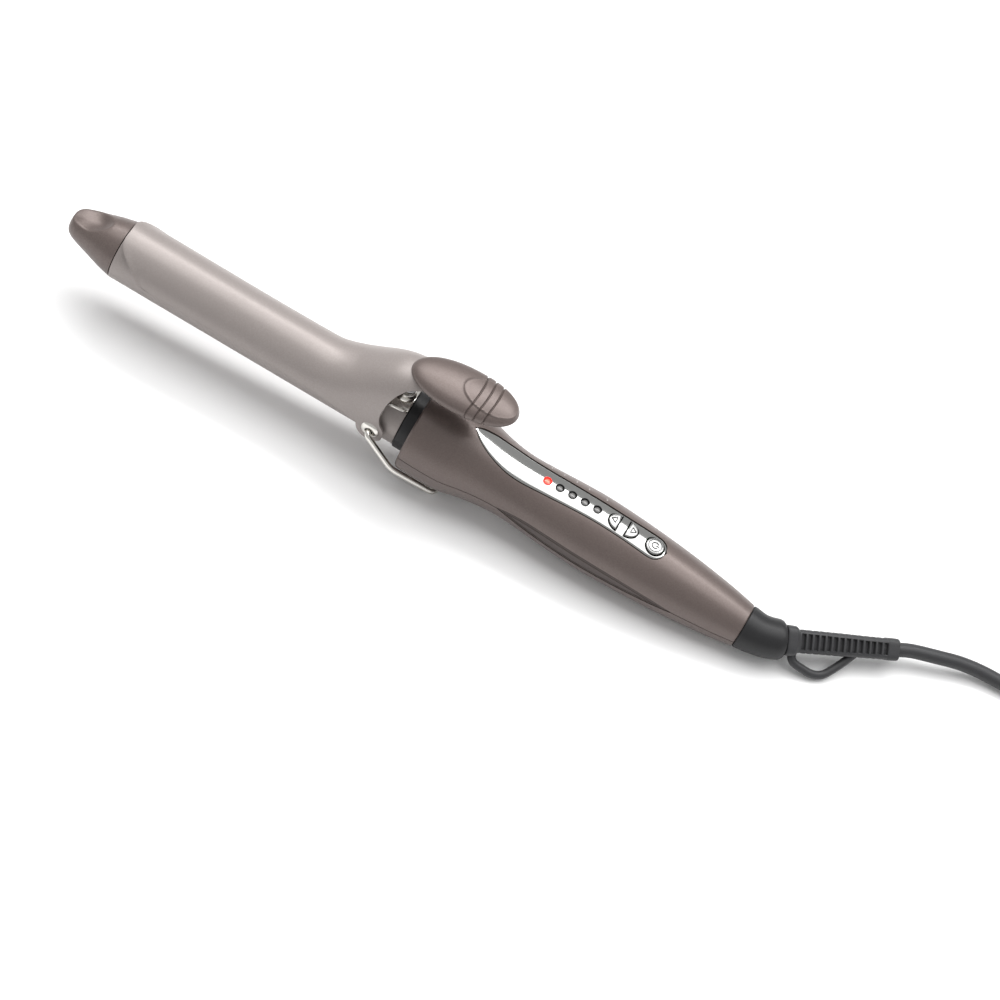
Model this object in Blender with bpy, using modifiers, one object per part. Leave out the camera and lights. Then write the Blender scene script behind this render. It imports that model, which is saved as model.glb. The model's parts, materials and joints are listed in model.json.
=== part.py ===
"""Curling iron: a heated barrel with a sprung clip, a folding stand, a handle with controls and a cord.

Sizes are in millimetres. The iron is drawn in its own frame: X runs along the barrel from the tip to the
cord, Z is up and the barrel's axis is at y = z = 0. The whole iron then lies on the table, on its stand's
crossbar and the belly of its handle.
"""
import math

import bmesh
import bpy
from mathutils import Matrix, Vector

MM = 0.001
GAP = 0.3

# Barrel and tip
BARREL_R = 12.5
BARREL_WALL = 1.2
BARREL_X = (24.2, 156.0)
TIP_PROFILE = (
    (0.0, 0.0), (0.1, 2.6), (0.7, 4.4), (1.8, 5.6), (3.5, 6.6), (6.0, 7.5), (8.5, 8.3), (11.0, 9.0),
    (13.0, 9.6), (14.5, 10.1), (16.0, 10.5), (18.0, 11.1), (23.9, 12.4),
)
FINGER_REST = ((0.0, 3.6), (1.5, 4.1), (5.0, 5.1), (10.0, 6.0), (13.0, 7.0), (15.0, 8.7), (18.0, 11.4))
PLUG_LENGTH = 6.0

# Clip, hinge and stand
PIVOT = (146.2, 0.0, 0.5)
CLIP_METAL = 1.0
CLIP_TOP = (
    (20.0, 13.5), (110.0, 13.5), (119.0, 14.0), (128.0, 17.4), (134.0, 21.6), (140.0, 26.4), (146.0, 30.2),
    (152.0, 32.2), (160.0, 33.2), (184.0, 35.6),
)
CLIP_HALF_WIDTH = ((20.0, 13.5), (115.0, 13.5), (136.0, 14.6), (152.0, 14.6), (156.0, 13.6), (184.0, 13.6))
CLIP_SQUARENESS = ((20.0, 2.0), (116.0, 2.0), (132.0, 2.6), (184.0, 2.6))
CLIP_SPAN = (24.6, 160.0)
CLIP_FRONT = ((0.0, 24.6), (0.3, 24.9), (0.5, 27.6), (0.75, 33.0), (0.9, 36.5), (1.0, 40.5))
CLIP_REAR = (
    (0.0, 160.0), (0.17, 159.6), (0.21, 157.5), (0.27, 153.0), (0.34, 150.0), (0.52, 147.8), (0.7, 148.3),
    (0.86, 151.4), (1.0, 151.8),
)
CLIP_SHARES = (0.0, 0.12, 0.22, 0.33, 0.44, 0.55, 0.66, 0.78, 0.9, 1.0)
CLIP_STATIONS = (0.0, 0.03, 0.09, 0.3, 0.55, 0.66, 0.7, 0.735, 0.77, 0.81, 0.85, 0.89, 0.93, 0.965, 1.0)
TONGUE_END, TONGUE_HALF, TONGUE_SHARE = 184.0, 4.4, 0.12
EAR_R = 6.2
LEVER_CENTRE = (172.4, 0.0, 34.8)
LEVER_SIZE = (46.6, 22.0, 9.4)
LEVER_RISE = math.radians(4.8)
LEVER_SCREW_X = 174.0
RIVET_R, RIVET_BORE_R, RIVET_HEAD_R = 2.4, 1.6, 4.0
STAND_WIRE_R = 1.25
STAND_LEG = ((146.2, 13.4, 0.5), (146.2, 17.9, 0.5), (160.6, 17.9, -11.6), (179.8, 10.5, -22.1))
STAND_BOTTOM = STAND_LEG[-1][2] - STAND_WIRE_R

# Handle: radius and height of the centre line along its length
HANDLE_X = (161.2, 313.3)
HANDLE_WALL = 2.0
HANDLE_RADIUS = (
    (161.2, 19.2), (170.0, 19.4), (180.0, 18.9), (189.0, 16.6), (198.0, 14.8), (207.0, 14.05), (217.0, 14.4),
    (230.0, 15.2), (243.0, 15.6), (263.0, 14.9), (283.0, 13.4), (303.0, 11.0), (313.3, 9.2),
)
HANDLE_CENTRE = ((161.2, -0.5), (180.0, -1.0), (207.0, -3.0), (243.0, -4.1), (283.0, -5.4), (313.3, -6.5))
FRONT_OPENING_R = 13.0
REAR_OPENING_R = 7.5
FOOT_DEPTH = 0.45
SCREW_X = (172.0, 288.0)
SCREW_HEAD_DROP = 6.2
PARTING_GAP = 0.6
SCREW_BOSS_R = 3.6

# Controls
PANEL_THICKNESS = 1.4
PANEL_HALF_WIDTH = (
    (182.6, 0.35), (184.5, 1.7), (188.0, 3.4), (193.0, 4.9), (203.0, 6.1), (220.0, 5.6), (238.0, 5.0),
    (252.0, 4.9), (262.0, 5.15), (266.9, 5.2), (269.5, 4.5), (271.4, 2.6), (272.0, 0.5),
)
LED_X = tuple(217.3 + 5.68 * number for number in range(5))
LED_R = 1.65
BUTTON_SIZE = (4.4, 7.4)
BUTTON_X = {"button_down": 247.8, "button_up": 256.4, "button_power": 266.9}
POWER_R = 3.8
BUTTON_PROUD, BUTTON_DEPTH = 0.5, 1.9
BOARD = ((205.0, -6.5, 2.4), (272.0, 6.5, 4.0))
SIDE_INLAY = (
    (205.7, 0.02), (210.0, 0.09), (218.0, 0.17), (232.0, 0.2), (246.0, 0.2), (262.0, 0.17), (276.0, 0.1),
    (285.2, 0.02),
)

# Cord end: the socket turns the cord away from the handle's line
ELBOW = (323.0, 0.0, -6.5)
ELBOW_TURN = math.radians(29.8)
LOOP_TILT = math.radians(31.3)
RELIEF_START, RELIEF_END = 8.2, 56.5
CORD_R = 3.0
LOOP_ROUTE = (
    (12.0, 3.5), (13.0, 8.2), (17.5, 11.0), (21.7, 12.7), (25.9, 12.6), (29.8, 10.4), (34.5, 6.9), (39.0, 3.0),
)
LOOP_R = 1.75

# Cord on the table, in the world: after it leaves the sleeve, then its hank and plug
CORD_ROUTE = (
    (0.2222, 0.0357, 0.0068), (0.2300, 0.0388, 0.0058), (0.2390, 0.0411, 0.0045), (0.2490, 0.0420, 0.0036),
    (0.2600, 0.0421, 0.0033), (0.2740, 0.0421, 0.0033), (0.2875, 0.0421, 0.0033),
)
HANK_CENTRE = (0.3490, 0.0121)
HANK_RUN, HANK_END_R, HANK_WAIST_R, HANK_HEIGHT = 84.0, 33.0, 19.0, 12.9
TIE_WIDTH, TIE_THICKNESS, TIE_LIFT = 9.0, 0.9, 0.15
TAIL_ROUTE = (
    (0.4103, 0.0421, 0.0093), (0.4160, 0.0419, 0.0090), (0.4230, 0.0408, 0.0084), (0.4300, 0.0389, 0.0079),
    (0.4370, 0.0369, 0.0075), (0.4430, 0.0358, 0.0073), (0.4480, 0.0355, 0.0073),
)
PLUG_START = (0.4483, 0.0355, 0.0073)
PLUG_LENGTH_X, PLUG_WIDTH, PLUG_THICKNESS = 34.0, 30.0, 14.0
PIN_LENGTH, PIN_R, PIN_SPACING = 19.0, 2.0, 18.6

# name: colour, metallic, roughness
FINISHES = {
    "barrel_coating": ((0.33, 0.29, 0.28), 0.7, 0.35),
    "brown_plastic": ((0.14, 0.105, 0.095), 0.5, 0.35),
    "inlay_brown": ((0.07, 0.052, 0.048), 0.3, 0.5),
    "chrome": ((0.8, 0.8, 0.8), 1.0, 0.12),
    "nickel_wire": ((0.72, 0.7, 0.66), 1.0, 0.25),
    "steel": ((0.5, 0.5, 0.5), 1.0, 0.35),
    "black_plastic": ((0.03, 0.03, 0.032), 0.0, 0.5),
    "black_rubber": ((0.045, 0.045, 0.048), 0.0, 0.65),
    "lit_red": ((0.9, 0.06, 0.04), 0.0, 0.25),
    "lens_dark": ((0.06, 0.055, 0.055), 0.0, 0.25),
    "aluminium": ((0.7, 0.7, 0.72), 1.0, 0.4),
    "ceramic": ((0.85, 0.84, 0.8), 0.0, 0.6),
    "board_green": ((0.03, 0.2, 0.07), 0.0, 0.5),
    "wire_red": ((0.6, 0.05, 0.04), 0.0, 0.5),
    "wire_blue": ((0.05, 0.12, 0.5), 0.0, 0.5),
}


def clear_scene():
    """Removes every object and leftover collection."""
    for item in list(bpy.data.objects):
        bpy.data.objects.remove(item, do_unlink=True)
    for group in list(bpy.data.collections):
        bpy.data.collections.remove(group)


def collection(name):
    """Makes a collection in the scene."""
    group = bpy.data.collections.new(name)
    bpy.context.scene.collection.children.link(group)
    return group


def finish(name, node):
    """One Principled material for one sub-part."""
    colour, metallic, roughness = FINISHES[name]
    material = bpy.data.materials.new(f"{node}_{name}")
    material.use_nodes = True
    shader = material.node_tree.nodes["Principled BSDF"]
    shader.inputs["Base Color"].default_value = (*colour, 1.0)
    shader.inputs["Metallic"].default_value = metallic
    shader.inputs["Roughness"].default_value = roughness
    return material


def read_curve(points, x):
    """The value at x of a smooth curve through (x, value) points, flat beyond its ends."""
    if x <= points[0][0]:
        return points[0][1]
    for number in range(len(points) - 1):
        (x0, v0), (x1, v1) = points[number:number + 2]
        if x <= x1:
            break
    else:
        return points[-1][1]
    before = points[max(number - 1, 0)]
    after = points[min(number + 2, len(points) - 1)]
    slope_in = (v1 - before[1]) / (x1 - before[0])
    slope_out = (after[1] - v0) / (after[0] - x0)
    span = x1 - x0
    t = (x - x0) / span
    return (
        (2 * t**3 - 3 * t**2 + 1) * v0 + (t**3 - 2 * t**2 + t) * span * slope_in
        + (3 * t**2 - 2 * t**3) * v1 + (t**3 - t**2) * span * slope_out
    )


def steps(first, last, count):
    """Evenly spaced numbers, both ends included."""
    return [first + (last - first) * number / (count - 1) for number in range(count)]


def handle_radius(x):
    return read_curve(HANDLE_RADIUS, x)


def handle_centre(x):
    return read_curve(HANDLE_CENTRE, x)


def handle_top(x, y=0.0):
    """Height of the handle's upper surface."""
    return handle_centre(x) + math.sqrt(handle_radius(x) ** 2 - y**2)


def rest_slope():
    """Slope of the table under the iron, from the stand's crossbar to a small flat on the belly."""
    stand_x = STAND_LEG[-1][0]
    return min(
        (handle_centre(x) - handle_radius(x) + FOOT_DEPTH - STAND_BOTTOM) / (x - stand_x)
        for x in steps(230.0, 300.0, 71)
    )


SLOPE = rest_slope()


def table_under(x):
    """Height of the table, in the iron's own frame."""
    return STAND_BOTTOM + SLOPE * (x - STAND_LEG[-1][0])


class Iron:
    """Places pieces in the iron's own frame and keeps the cutters apart."""

    def __init__(self):
        self.parts = collection("curling_iron")
        self.cutters = collection("cutters")
        self.frame = bpy.data.objects.new("iron_frame", None)
        self.parts.objects.link(self.frame)

    def add(self, name, bm, look, origin=(0, 0, 0), turn=None, smooth=40.0, on_table=False):
        """Makes a piece from a mesh in millimetres whose coordinates start at its origin."""
        bmesh.ops.recalc_face_normals(bm, faces=bm.faces)
        mesh = bpy.data.meshes.new(name)
        bm.to_mesh(mesh)
        bm.free()
        mesh.transform(Matrix.Scale(MM, 4))
        item = bpy.data.objects.new(name, mesh)
        if look:
            mesh.materials.append(finish(look, name))
            mesh.shade_smooth()
            mesh.set_sharp_from_angle(angle=math.radians(smooth))
        if not on_table:
            item.parent = self.frame
        item.matrix_local = Matrix.Translation(Vector(origin) * MM) @ (turn or Matrix.Identity(4))
        (self.parts if look else self.cutters).objects.link(item)
        if not look:
            item.hide_render = True
            item.display_type = "WIRE"
        return item

    def cutter(self, name, bm, origin=(0, 0, 0), turn=None, on_table=False):
        """A hidden shape that cuts or joins another."""
        return self.add(name, bm, None, origin, turn, on_table=on_table)


def boolean(item, tool, operation="DIFFERENCE"):
    modifier = item.modifiers.new(tool.name, "BOOLEAN")
    modifier.operation = operation
    modifier.object = tool


def thicken(item, thickness, side):
    """Gives a sheet its thickness: side is -1 below the sheet, 1 above it and 0 for both."""
    modifier = item.modifiers.new("Thickness", "SOLIDIFY")
    modifier.thickness = thickness * MM
    modifier.offset = side
    modifier.use_even_offset = True


def temporary_mesh(item):
    """The evaluated mesh of a helper object as a bmesh in millimetres, with loose caps joined."""
    bpy.context.scene.collection.objects.link(item)
    graph = bpy.context.evaluated_depsgraph_get()
    mesh = bpy.data.meshes.new_from_object(item.evaluated_get(graph))
    bm = bmesh.new()
    bm.from_mesh(mesh)
    bmesh.ops.remove_doubles(bm, verts=bm.verts, dist=0.001)
    bpy.data.meshes.remove(mesh)
    bpy.data.objects.remove(item, do_unlink=True)
    return bm


def turned(profile, axis="X", sides=32, closed=False):
    """A solid turned about an axis, from (position along the axis, radius) points."""
    place = {
        "X": lambda along, radius: (along, 0, radius),
        "Y": lambda along, radius: (0, along, radius),
        "Z": lambda along, radius: (radius, 0, along),
    }[axis]
    mesh = bpy.data.meshes.new("profile")
    count = len(profile)
    edges = [(number, number + 1) for number in range(count - 1)]
    if closed:
        edges.append((count - 1, 0))
    mesh.from_pydata([place(*point) for point in profile], edges, [])
    item = bpy.data.objects.new("profile", mesh)
    screw = item.modifiers.new("Turn", "SCREW")
    screw.axis = axis
    screw.steps = screw.render_steps = sides
    screw.use_merge_vertices = True
    screw.merge_threshold = 0.0001
    return temporary_mesh(item)


def wire(points, radius, resolution=2):
    """A round wire along straight stretches between its points."""
    curve = bpy.data.curves.new("wire", "CURVE")
    curve.dimensions = "3D"
    curve.bevel_depth = radius
    curve.bevel_resolution = resolution
    curve.use_fill_caps = True
    spline = curve.splines.new("POLY")
    spline.points.add(len(points) - 1)
    for target, point in zip(spline.points, points):
        target.co = (*point, 1.0)
    return temporary_mesh(bpy.data.objects.new("wire", curve))


def box(low, high):
    """A box between two corners."""
    bm = bmesh.new()
    bmesh.ops.create_cube(bm, size=1.0)
    size = [b - a for a, b in zip(low, high)]
    middle = [(a + b) / 2 for a, b in zip(low, high)]
    bmesh.ops.scale(bm, verts=bm.verts, vec=size)
    bmesh.ops.translate(bm, verts=bm.verts, vec=middle)
    return bm


def rod(start, end, radius, axis="Z", sides=24):
    """A plain cylinder about an axis through the origin."""
    return turned([(start, 0.0), (start, radius), (end, radius), (end, 0.0)], axis, sides)


def prism(outline, low, high):
    """An upright block with the given (x, y) outline."""
    bm = bmesh.new()
    face = bm.faces.new([bm.verts.new((x, y, low)) for x, y in outline])
    raised = bmesh.ops.extrude_face_region(bm, geom=[face])["geom"]
    top = [part for part in raised if isinstance(part, bmesh.types.BMVert)]
    bmesh.ops.translate(bm, verts=top, vec=(0, 0, high - low))
    return bm


def sheet(rows):
    """A surface through rows of points; a place without a point stays empty."""
    bm = bmesh.new()
    grid = [[point and bm.verts.new(point) for point in row] for row in rows]
    for upper, lower in zip(grid, grid[1:]):
        for a, b, c, d in zip(upper, upper[1:], lower[1:], lower):
            if a and b and c and d:
                bm.faces.new((a, b, c, d))
    return bm


def rings_to_solid(rings):
    """A closed body through rings of points, the last ring joining the first."""
    bm = bmesh.new()
    grid = [[bm.verts.new(point) for point in ring] for ring in rings]
    for ring, following in zip(grid, grid[1:] + grid[:1]):
        for number in range(len(ring)):
            after = (number + 1) % len(ring)
            bm.faces.new((ring[number], ring[after], following[after], following[number]))
    return bm


def smooth_route(points, spacing):
    """Points at about one spacing along a smooth curve through the route's own points."""
    points = [Vector(point) for point in points]
    line = []
    for number in range(len(points) - 1):
        start, end = points[number], points[number + 1]
        before = points[number - 1] if number else start * 2 - end
        after = points[number + 2] if number + 2 < len(points) else end * 2 - start
        pieces = max(1, round((end - start).length / spacing))
        for piece in range(pieces):
            t = piece / pieces
            line.append(0.5 * (
                2 * start + (end - before) * t + (2 * before - 5 * start + 4 * end - after) * t * t
                + (3 * start - before - 3 * end + after) * t**3
            ))
    return line + [points[-1]]


def make_barrel(iron):
    tip = turned([*TIP_PROFILE, (23.9, 11.0), (23.9 + PLUG_LENGTH, 11.0), (23.9 + PLUG_LENGTH, 0.0)], sides=24)
    for vert in tip.verts:
        if vert.co.x <= FINGER_REST[-1][0]:
            vert.co.z = min(vert.co.z, read_curve(FINGER_REST, vert.co.x))
    bmesh.ops.remove_doubles(tip, verts=tip.verts, dist=0.01)
    iron.add("tip_cap", tip, "brown_plastic")

    start, end = BARREL_X
    inner = BARREL_R - BARREL_WALL
    tube = [(start, BARREL_R), (end, BARREL_R), (end, inner), (start, inner)]
    iron.add("barrel_tube", turned(tube, sides=36, closed=True), "barrel_coating")

    collar = [
        (150.0, 8.0), (150.0, 10.9), (156.3, 10.9), (156.3, 12.5), (163.6, 12.5), (163.6, 16.3),
        (166.5, 16.3), (166.5, 8.0),
    ]
    iron.add("collar_ring", turned(collar, sides=32, closed=True), "black_plastic")


def make_heater(iron):
    """Two half-round blocks with the flat heater, the sensor and the fuse between them."""
    for name, side in (("heater_block_upper", 1), ("heater_block_lower", -1)):
        block = rod(40.0, 142.0, 10.8, "X", 28)
        geometry = block.verts[:] + block.edges[:] + block.faces[:]
        cut = bmesh.ops.bisect_plane(
            block, geom=geometry, plane_co=(0, 0, 1.5 * side), plane_no=(0, 0, -side), clear_outer=True)
        edges = [part for part in cut["geom_cut"] if isinstance(part, bmesh.types.BMEdge)]
        bmesh.ops.edgenet_fill(block, edges=edges)
        iron.add(name, block, "aluminium")
    iron.add("heater_element", box((55.0, -6.0, -1.1), (118.0, 6.0, 1.1)), "ceramic")
    iron.add("thermistor", box((122.0, -7.0, -1.0), (127.0, -4.5, 1.0)), "ceramic")
    iron.add("thermal_fuse", rod(0.0, 9.0, 1.1, "X", 12), "steel", origin=(122.0, 8.4, 0.0))
    leads = (("heater_lead_1", "wire_red", 118.6, 2.5, 6.9), ("heater_lead_2", "wire_blue", 118.6, -1.0, 5.0),
             ("sensor_lead", "wire_red", 127.6, -5.7, -5.7))
    for name, look, start, y, side in leads:
        route = (
            (start, y, 0.0), (145.0, side, 0.0), (180.0, side, 0.0), (198.0, side, -1.0), (214.0, side, 0.6),
        )
        iron.add(name, wire(route, 0.7), look)


def clip_section(x):
    """The clip's cross-section at x, from the top down one side, as closely spaced (y, z) points."""
    top = read_curve(CLIP_TOP, x)
    half = read_curve(CLIP_HALF_WIDTH, x)
    power = 2.0 / read_curve(CLIP_SQUARENESS, x)
    rise = half * math.sin(math.radians(8.0))
    reach = x - PIVOT[0]
    flare = min(max((x - 124.0) / (PIVOT[0] - EAR_R * 0.7 - 124.0), 0.0), 1.0)
    low = rise * (1.0 - flare**2 * (3.0 - 2.0 * flare))
    if abs(reach) < EAR_R:
        low = min(low, PIVOT[2] - math.sqrt(EAR_R**2 - reach**2))
    points = []
    for angle in steps(0.0, math.pi / 2, 40):
        y, z = half * math.sin(angle) ** power, top * math.cos(angle) ** power
        if z < low:
            break
        points.append((y, z))
    points.append((half, low))
    return points


def along(points, share):
    """The point at a share of a polyline's length."""
    lengths = [math.dist(a, b) for a, b in zip(points, points[1:])]
    left = share * sum(lengths)
    for (a, b), length in zip(zip(points, points[1:]), lengths):
        if left <= length:
            t = left / length if length else 0.0
            return tuple(p + (q - p) * t for p, q in zip(a, b))
        left -= length
    return points[-1]


def clip_point(station, share, side):
    """A point of the clip's middle surface, by its place along and across the metal."""
    x = CLIP_SPAN[0] + (CLIP_SPAN[1] - CLIP_SPAN[0]) * station
    front = max(0.0, 1.0 - station / 0.3)
    rear = max(0.0, (station - 0.7) / 0.3)
    x += (read_curve(CLIP_FRONT, share) - CLIP_SPAN[0]) * front
    x += (read_curve(CLIP_REAR, share) - CLIP_SPAN[1]) * rear
    y, z = along(clip_section(x), share)
    return (x, side * y, z)


def from_pivot(bm):
    """Moves a mesh so that the hinge is its origin."""
    bmesh.ops.translate(bm, verts=bm.verts, vec=-Vector(PIVOT))
    return bm


def make_clip(iron):
    columns = [(share, -1) for share in reversed(CLIP_SHARES[1:])] + [(share, 1) for share in CLIP_SHARES]
    rows = [[clip_point(station, share, side) for share, side in columns] for station in CLIP_STATIONS]
    for x in (166.0, 175.0, TONGUE_END):
        top = read_curve(CLIP_TOP, x)
        rows.append([
            (x, side * TONGUE_HALF * share / TONGUE_SHARE, top) if share <= TONGUE_SHARE else None
            for share, side in columns
        ])
    plate = iron.add("clip_plate", from_pivot(sheet(rows)), "barrel_coating", origin=PIVOT)
    thicken(plate, CLIP_METAL, 0)
    hole = iron.cutter("cut_rivet_holes", rod(-20.0, 20.0, RIVET_R + 0.4, "Y", 20), origin=PIVOT)
    boolean(plate, hole)
    tongue_height = read_curve(CLIP_TOP, LEVER_SCREW_X)
    tongue_place = (LEVER_SCREW_X, 0.0, tongue_height)
    screw_hole = iron.cutter("cut_tongue_hole", rod(-3.0, 3.0, 1.6), origin=tongue_place)
    boolean(plate, screw_hole)

    lever = bmesh.new()
    bmesh.ops.create_uvsphere(lever, u_segments=20, v_segments=12, radius=0.5)
    bmesh.ops.rotate(lever, verts=lever.verts, matrix=Matrix.Rotation(math.pi / 2, 3, "Y"))
    bmesh.ops.scale(lever, verts=lever.verts, vec=LEVER_SIZE)
    bmesh.ops.rotate(lever, verts=lever.verts, matrix=Matrix.Rotation(-LEVER_RISE, 3, "Y"))
    bmesh.ops.translate(lever, verts=lever.verts, vec=LEVER_CENTRE)
    lever = iron.add("thumb_lever", from_pivot(lever), "brown_plastic", origin=PIVOT)
    seat = []
    for x in steps(143.0, 161.0, 7):
        section = clip_section(min(x, 160.0))
        half = [along(section, share) for share in (0.0, 0.15, 0.3, 0.42, 0.52, 0.62)]
        half = [(y * 1.09, z + CLIP_METAL / 2 + 0.45) for y, z in half]
        outer = [(x, side * y, z) for side, part in ((-1, half[::-1]), (1, half[1:])) for y, z in part]
        low = min(point[2] for point in outer) - 4.0
        seat.append([(x, outer[0][1], low)] + outer + [(x, outer[-1][1], low)])
    first, last = seat[0], seat[-1]
    block = bmesh.new()
    grid = [[block.verts.new(point) for point in row] for row in seat]
    for row, following in zip(grid, grid[1:]):
        for number in range(len(row)):
            after = (number + 1) % len(row)
            block.faces.new((row[number], row[after], following[after], following[number]))
    block.faces.new(grid[0])
    block.faces.new(grid[-1])
    boolean(lever, iron.cutter("cut_lever_seat", block))
    groove = prism([(158.0, -5.0), (184.6, -5.0), (184.6, 5.0), (158.0, 5.0)], 0.0, 10.0)
    for vert in groove.verts:
        vert.co.z = read_curve(CLIP_TOP, vert.co.x) + CLIP_METAL / 2 + 0.35 - (10.0 - vert.co.z)
    boolean(lever, iron.cutter("cut_lever_groove", groove))
    screw_place = (LEVER_SCREW_X, 0.0, tongue_height)
    boolean(lever, iron.cutter("cut_lever_screw", rod(-3.0, 4.0, 1.55), origin=screw_place))
    head = tongue_height - CLIP_METAL / 2 - GAP
    screw = turned([(-1.3, 0.0), (-1.3, 2.5), (0.0, 2.5), (0.0, 1.2), (4.0, 1.2), (4.0, 0.0)], "Z", 16)
    bmesh.ops.translate(screw, verts=screw.verts, vec=(LEVER_SCREW_X, 0.0, head))
    iron.add("lever_screw", from_pivot(screw), "steel", origin=PIVOT)


def make_hinge(iron):
    """The yoke on the barrel, the spring and its seat, the two hollow rivets and the stand."""
    rows = []
    for x in (140.5, 146.2, 151.0, 154.8):
        low = -5.0 if x < 152.0 else -2.0
        side = [(13.3, low), (13.3, low / 2)]
        arch = [(13.3 * math.cos(angle), 13.3 * math.sin(angle)) for angle in steps(0.0, math.pi, 17)]
        rows.append([(x, y, z) for y, z in side + arch + [(-y, z) for y, z in reversed(side)]])
    bracket = iron.add("clip_bracket", sheet(rows), "chrome")
    thicken(bracket, 0.7, 0)
    boolean(bracket, iron.cutter("cut_bracket_holes", rod(-20.0, 20.0, RIVET_R + 0.3, "Y", 20), origin=PIVOT))

    seat = [(13.95, 0.0), (13.95, 3.6), (16.6, 3.6), (16.6, 2.2), (15.4, 2.2), (15.4, 0.0)]
    iron.add("spring_seat", turned(seat, "Z", 20), "chrome", origin=(152.0, 0.0, 0.0))
    turns, points_per_turn = 5, 8
    low, high = 17.2, read_curve(CLIP_TOP, 152.0) - CLIP_METAL / 2 - 0.8
    coil = [
        (
            2.9 * math.cos(math.tau * number / points_per_turn),
            2.9 * math.sin(math.tau * number / points_per_turn),
            low + (high - low) * number / (turns * points_per_turn),
        )
        for number in range(turns * points_per_turn + 1)
    ]
    iron.add("clip_spring", wire(coil, 0.4, 1), "steel", origin=(152.0, 0.0, 0.0))

    for name, side in (("pivot_rivet_left", -1), ("pivot_rivet_right", 1)):
        profile = [
            (12.9, RIVET_BORE_R), (12.9, RIVET_R), (15.4, RIVET_R), (15.4, RIVET_HEAD_R),
            (15.7, RIVET_HEAD_R - 0.1),
            (16.1, 3.1), (16.3, RIVET_BORE_R + 0.4), (16.3, RIVET_BORE_R),
        ]
        rivet = turned([(side * y, radius) for y, radius in profile], "Y", 16, closed=True)
        iron.add(name, rivet, "chrome", origin=PIVOT)

    leg = [Vector(point) - Vector(PIVOT) for point in STAND_LEG]
    rounded = [leg[0], leg[1] - Vector((0, 0.6, 0)), leg[1] + (leg[2] - leg[1]).normalized() * 0.9]
    for corner, following in ((2, leg[3]), (3, leg[3] - Vector((0, 3, 0)))):
        before = (leg[corner - 1] - leg[corner]).normalized() * 2.0
        after = (following - leg[corner]).normalized() * 2.0
        rounded += [leg[corner] + before, leg[corner] + (before + after) * 0.25, leg[corner] + after]
    far = [(x, -y, z) for x, y, z in reversed(rounded)]
    iron.add("stand_wire", wire(rounded + far, STAND_WIRE_R), "nickel_wire", origin=PIVOT)


def shell_sheet(upper):
    """Half of the handle's outer surface, with its front and rear walls."""
    first, last = HANDLE_X
    rim = handle_radius(first)
    stations = [(first, FRONT_OPENING_R), (first, rim - 0.7), (first + 0.7, handle_radius(first + 0.7))]
    for x in (166, 173, 179, 184, 189, 194, 200, 207, 217, 230, 243, 257, 271, 285, 298, 311):
        stations.append((x, handle_radius(x)))
    stations += [(last, handle_radius(last) - 0.5), (last, REAR_OPENING_R)]
    rows = []
    for x, radius in stations:
        centre = handle_centre(x)
        row = []
        for angle in steps(0.0, math.pi, 15):
            z = radius * math.sin(angle) + PARTING_GAP / 2
            point = (x, radius * math.cos(angle), centre + (z if upper else -z))
            row.append((point[0], point[1], max(point[2], table_under(x))))
        rows.append(row if upper else row[::-1])
    return sheet(rows)


def inlay_outline(grow):
    """The (x, z) outline of the leaf-shaped side inlay."""
    first, last = SIDE_INLAY[0][0], SIDE_INLAY[-1][0]
    upper, lower = [], []
    for x in steps(first - grow, last + grow, 15):
        reach = handle_radius(x) * math.sin(read_curve(SIDE_INLAY, x)) + grow
        upper.append((x, handle_centre(x) + reach))
        lower.append((x, handle_centre(x) - reach))
    return upper + lower[::-1]


def panel_outline(grow=0.0):
    """The (x, y) outline of the control panel."""
    first, last = PANEL_HALF_WIDTH[0][0], PANEL_HALF_WIDTH[-1][0]
    xs = steps(first, last, 20)
    near = [(x, -read_curve(PANEL_HALF_WIDTH, x) - grow) for x in xs]
    near[0] = (near[0][0] - grow, near[0][1])
    near[-1] = (near[-1][0] + grow, near[-1][1])
    return near + [(x, -y) for x, y in reversed(near)]


def button_outline(name, grow=0.0):
    """The (x, y) outline of a button about its own middle: two mirrored D shapes and a round one."""
    if name == "button_power":
        return [
            ((POWER_R + grow) * math.cos(math.tau * n / 24), (POWER_R + grow) * math.sin(math.tau * n / 24))
            for n in range(24)
        ]
    length, width = BUTTON_SIZE
    side = -1 if name == "button_down" else 1
    flat = -side * (length / 2 + grow)
    points = [
        (flat + side * (length + 2 * grow) * math.cos(angle), (width / 2 + grow) * math.sin(angle))
        for angle in steps(-math.pi / 2, math.pi / 2, 13)
    ]
    return points if side > 0 else points[::-1]


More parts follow.
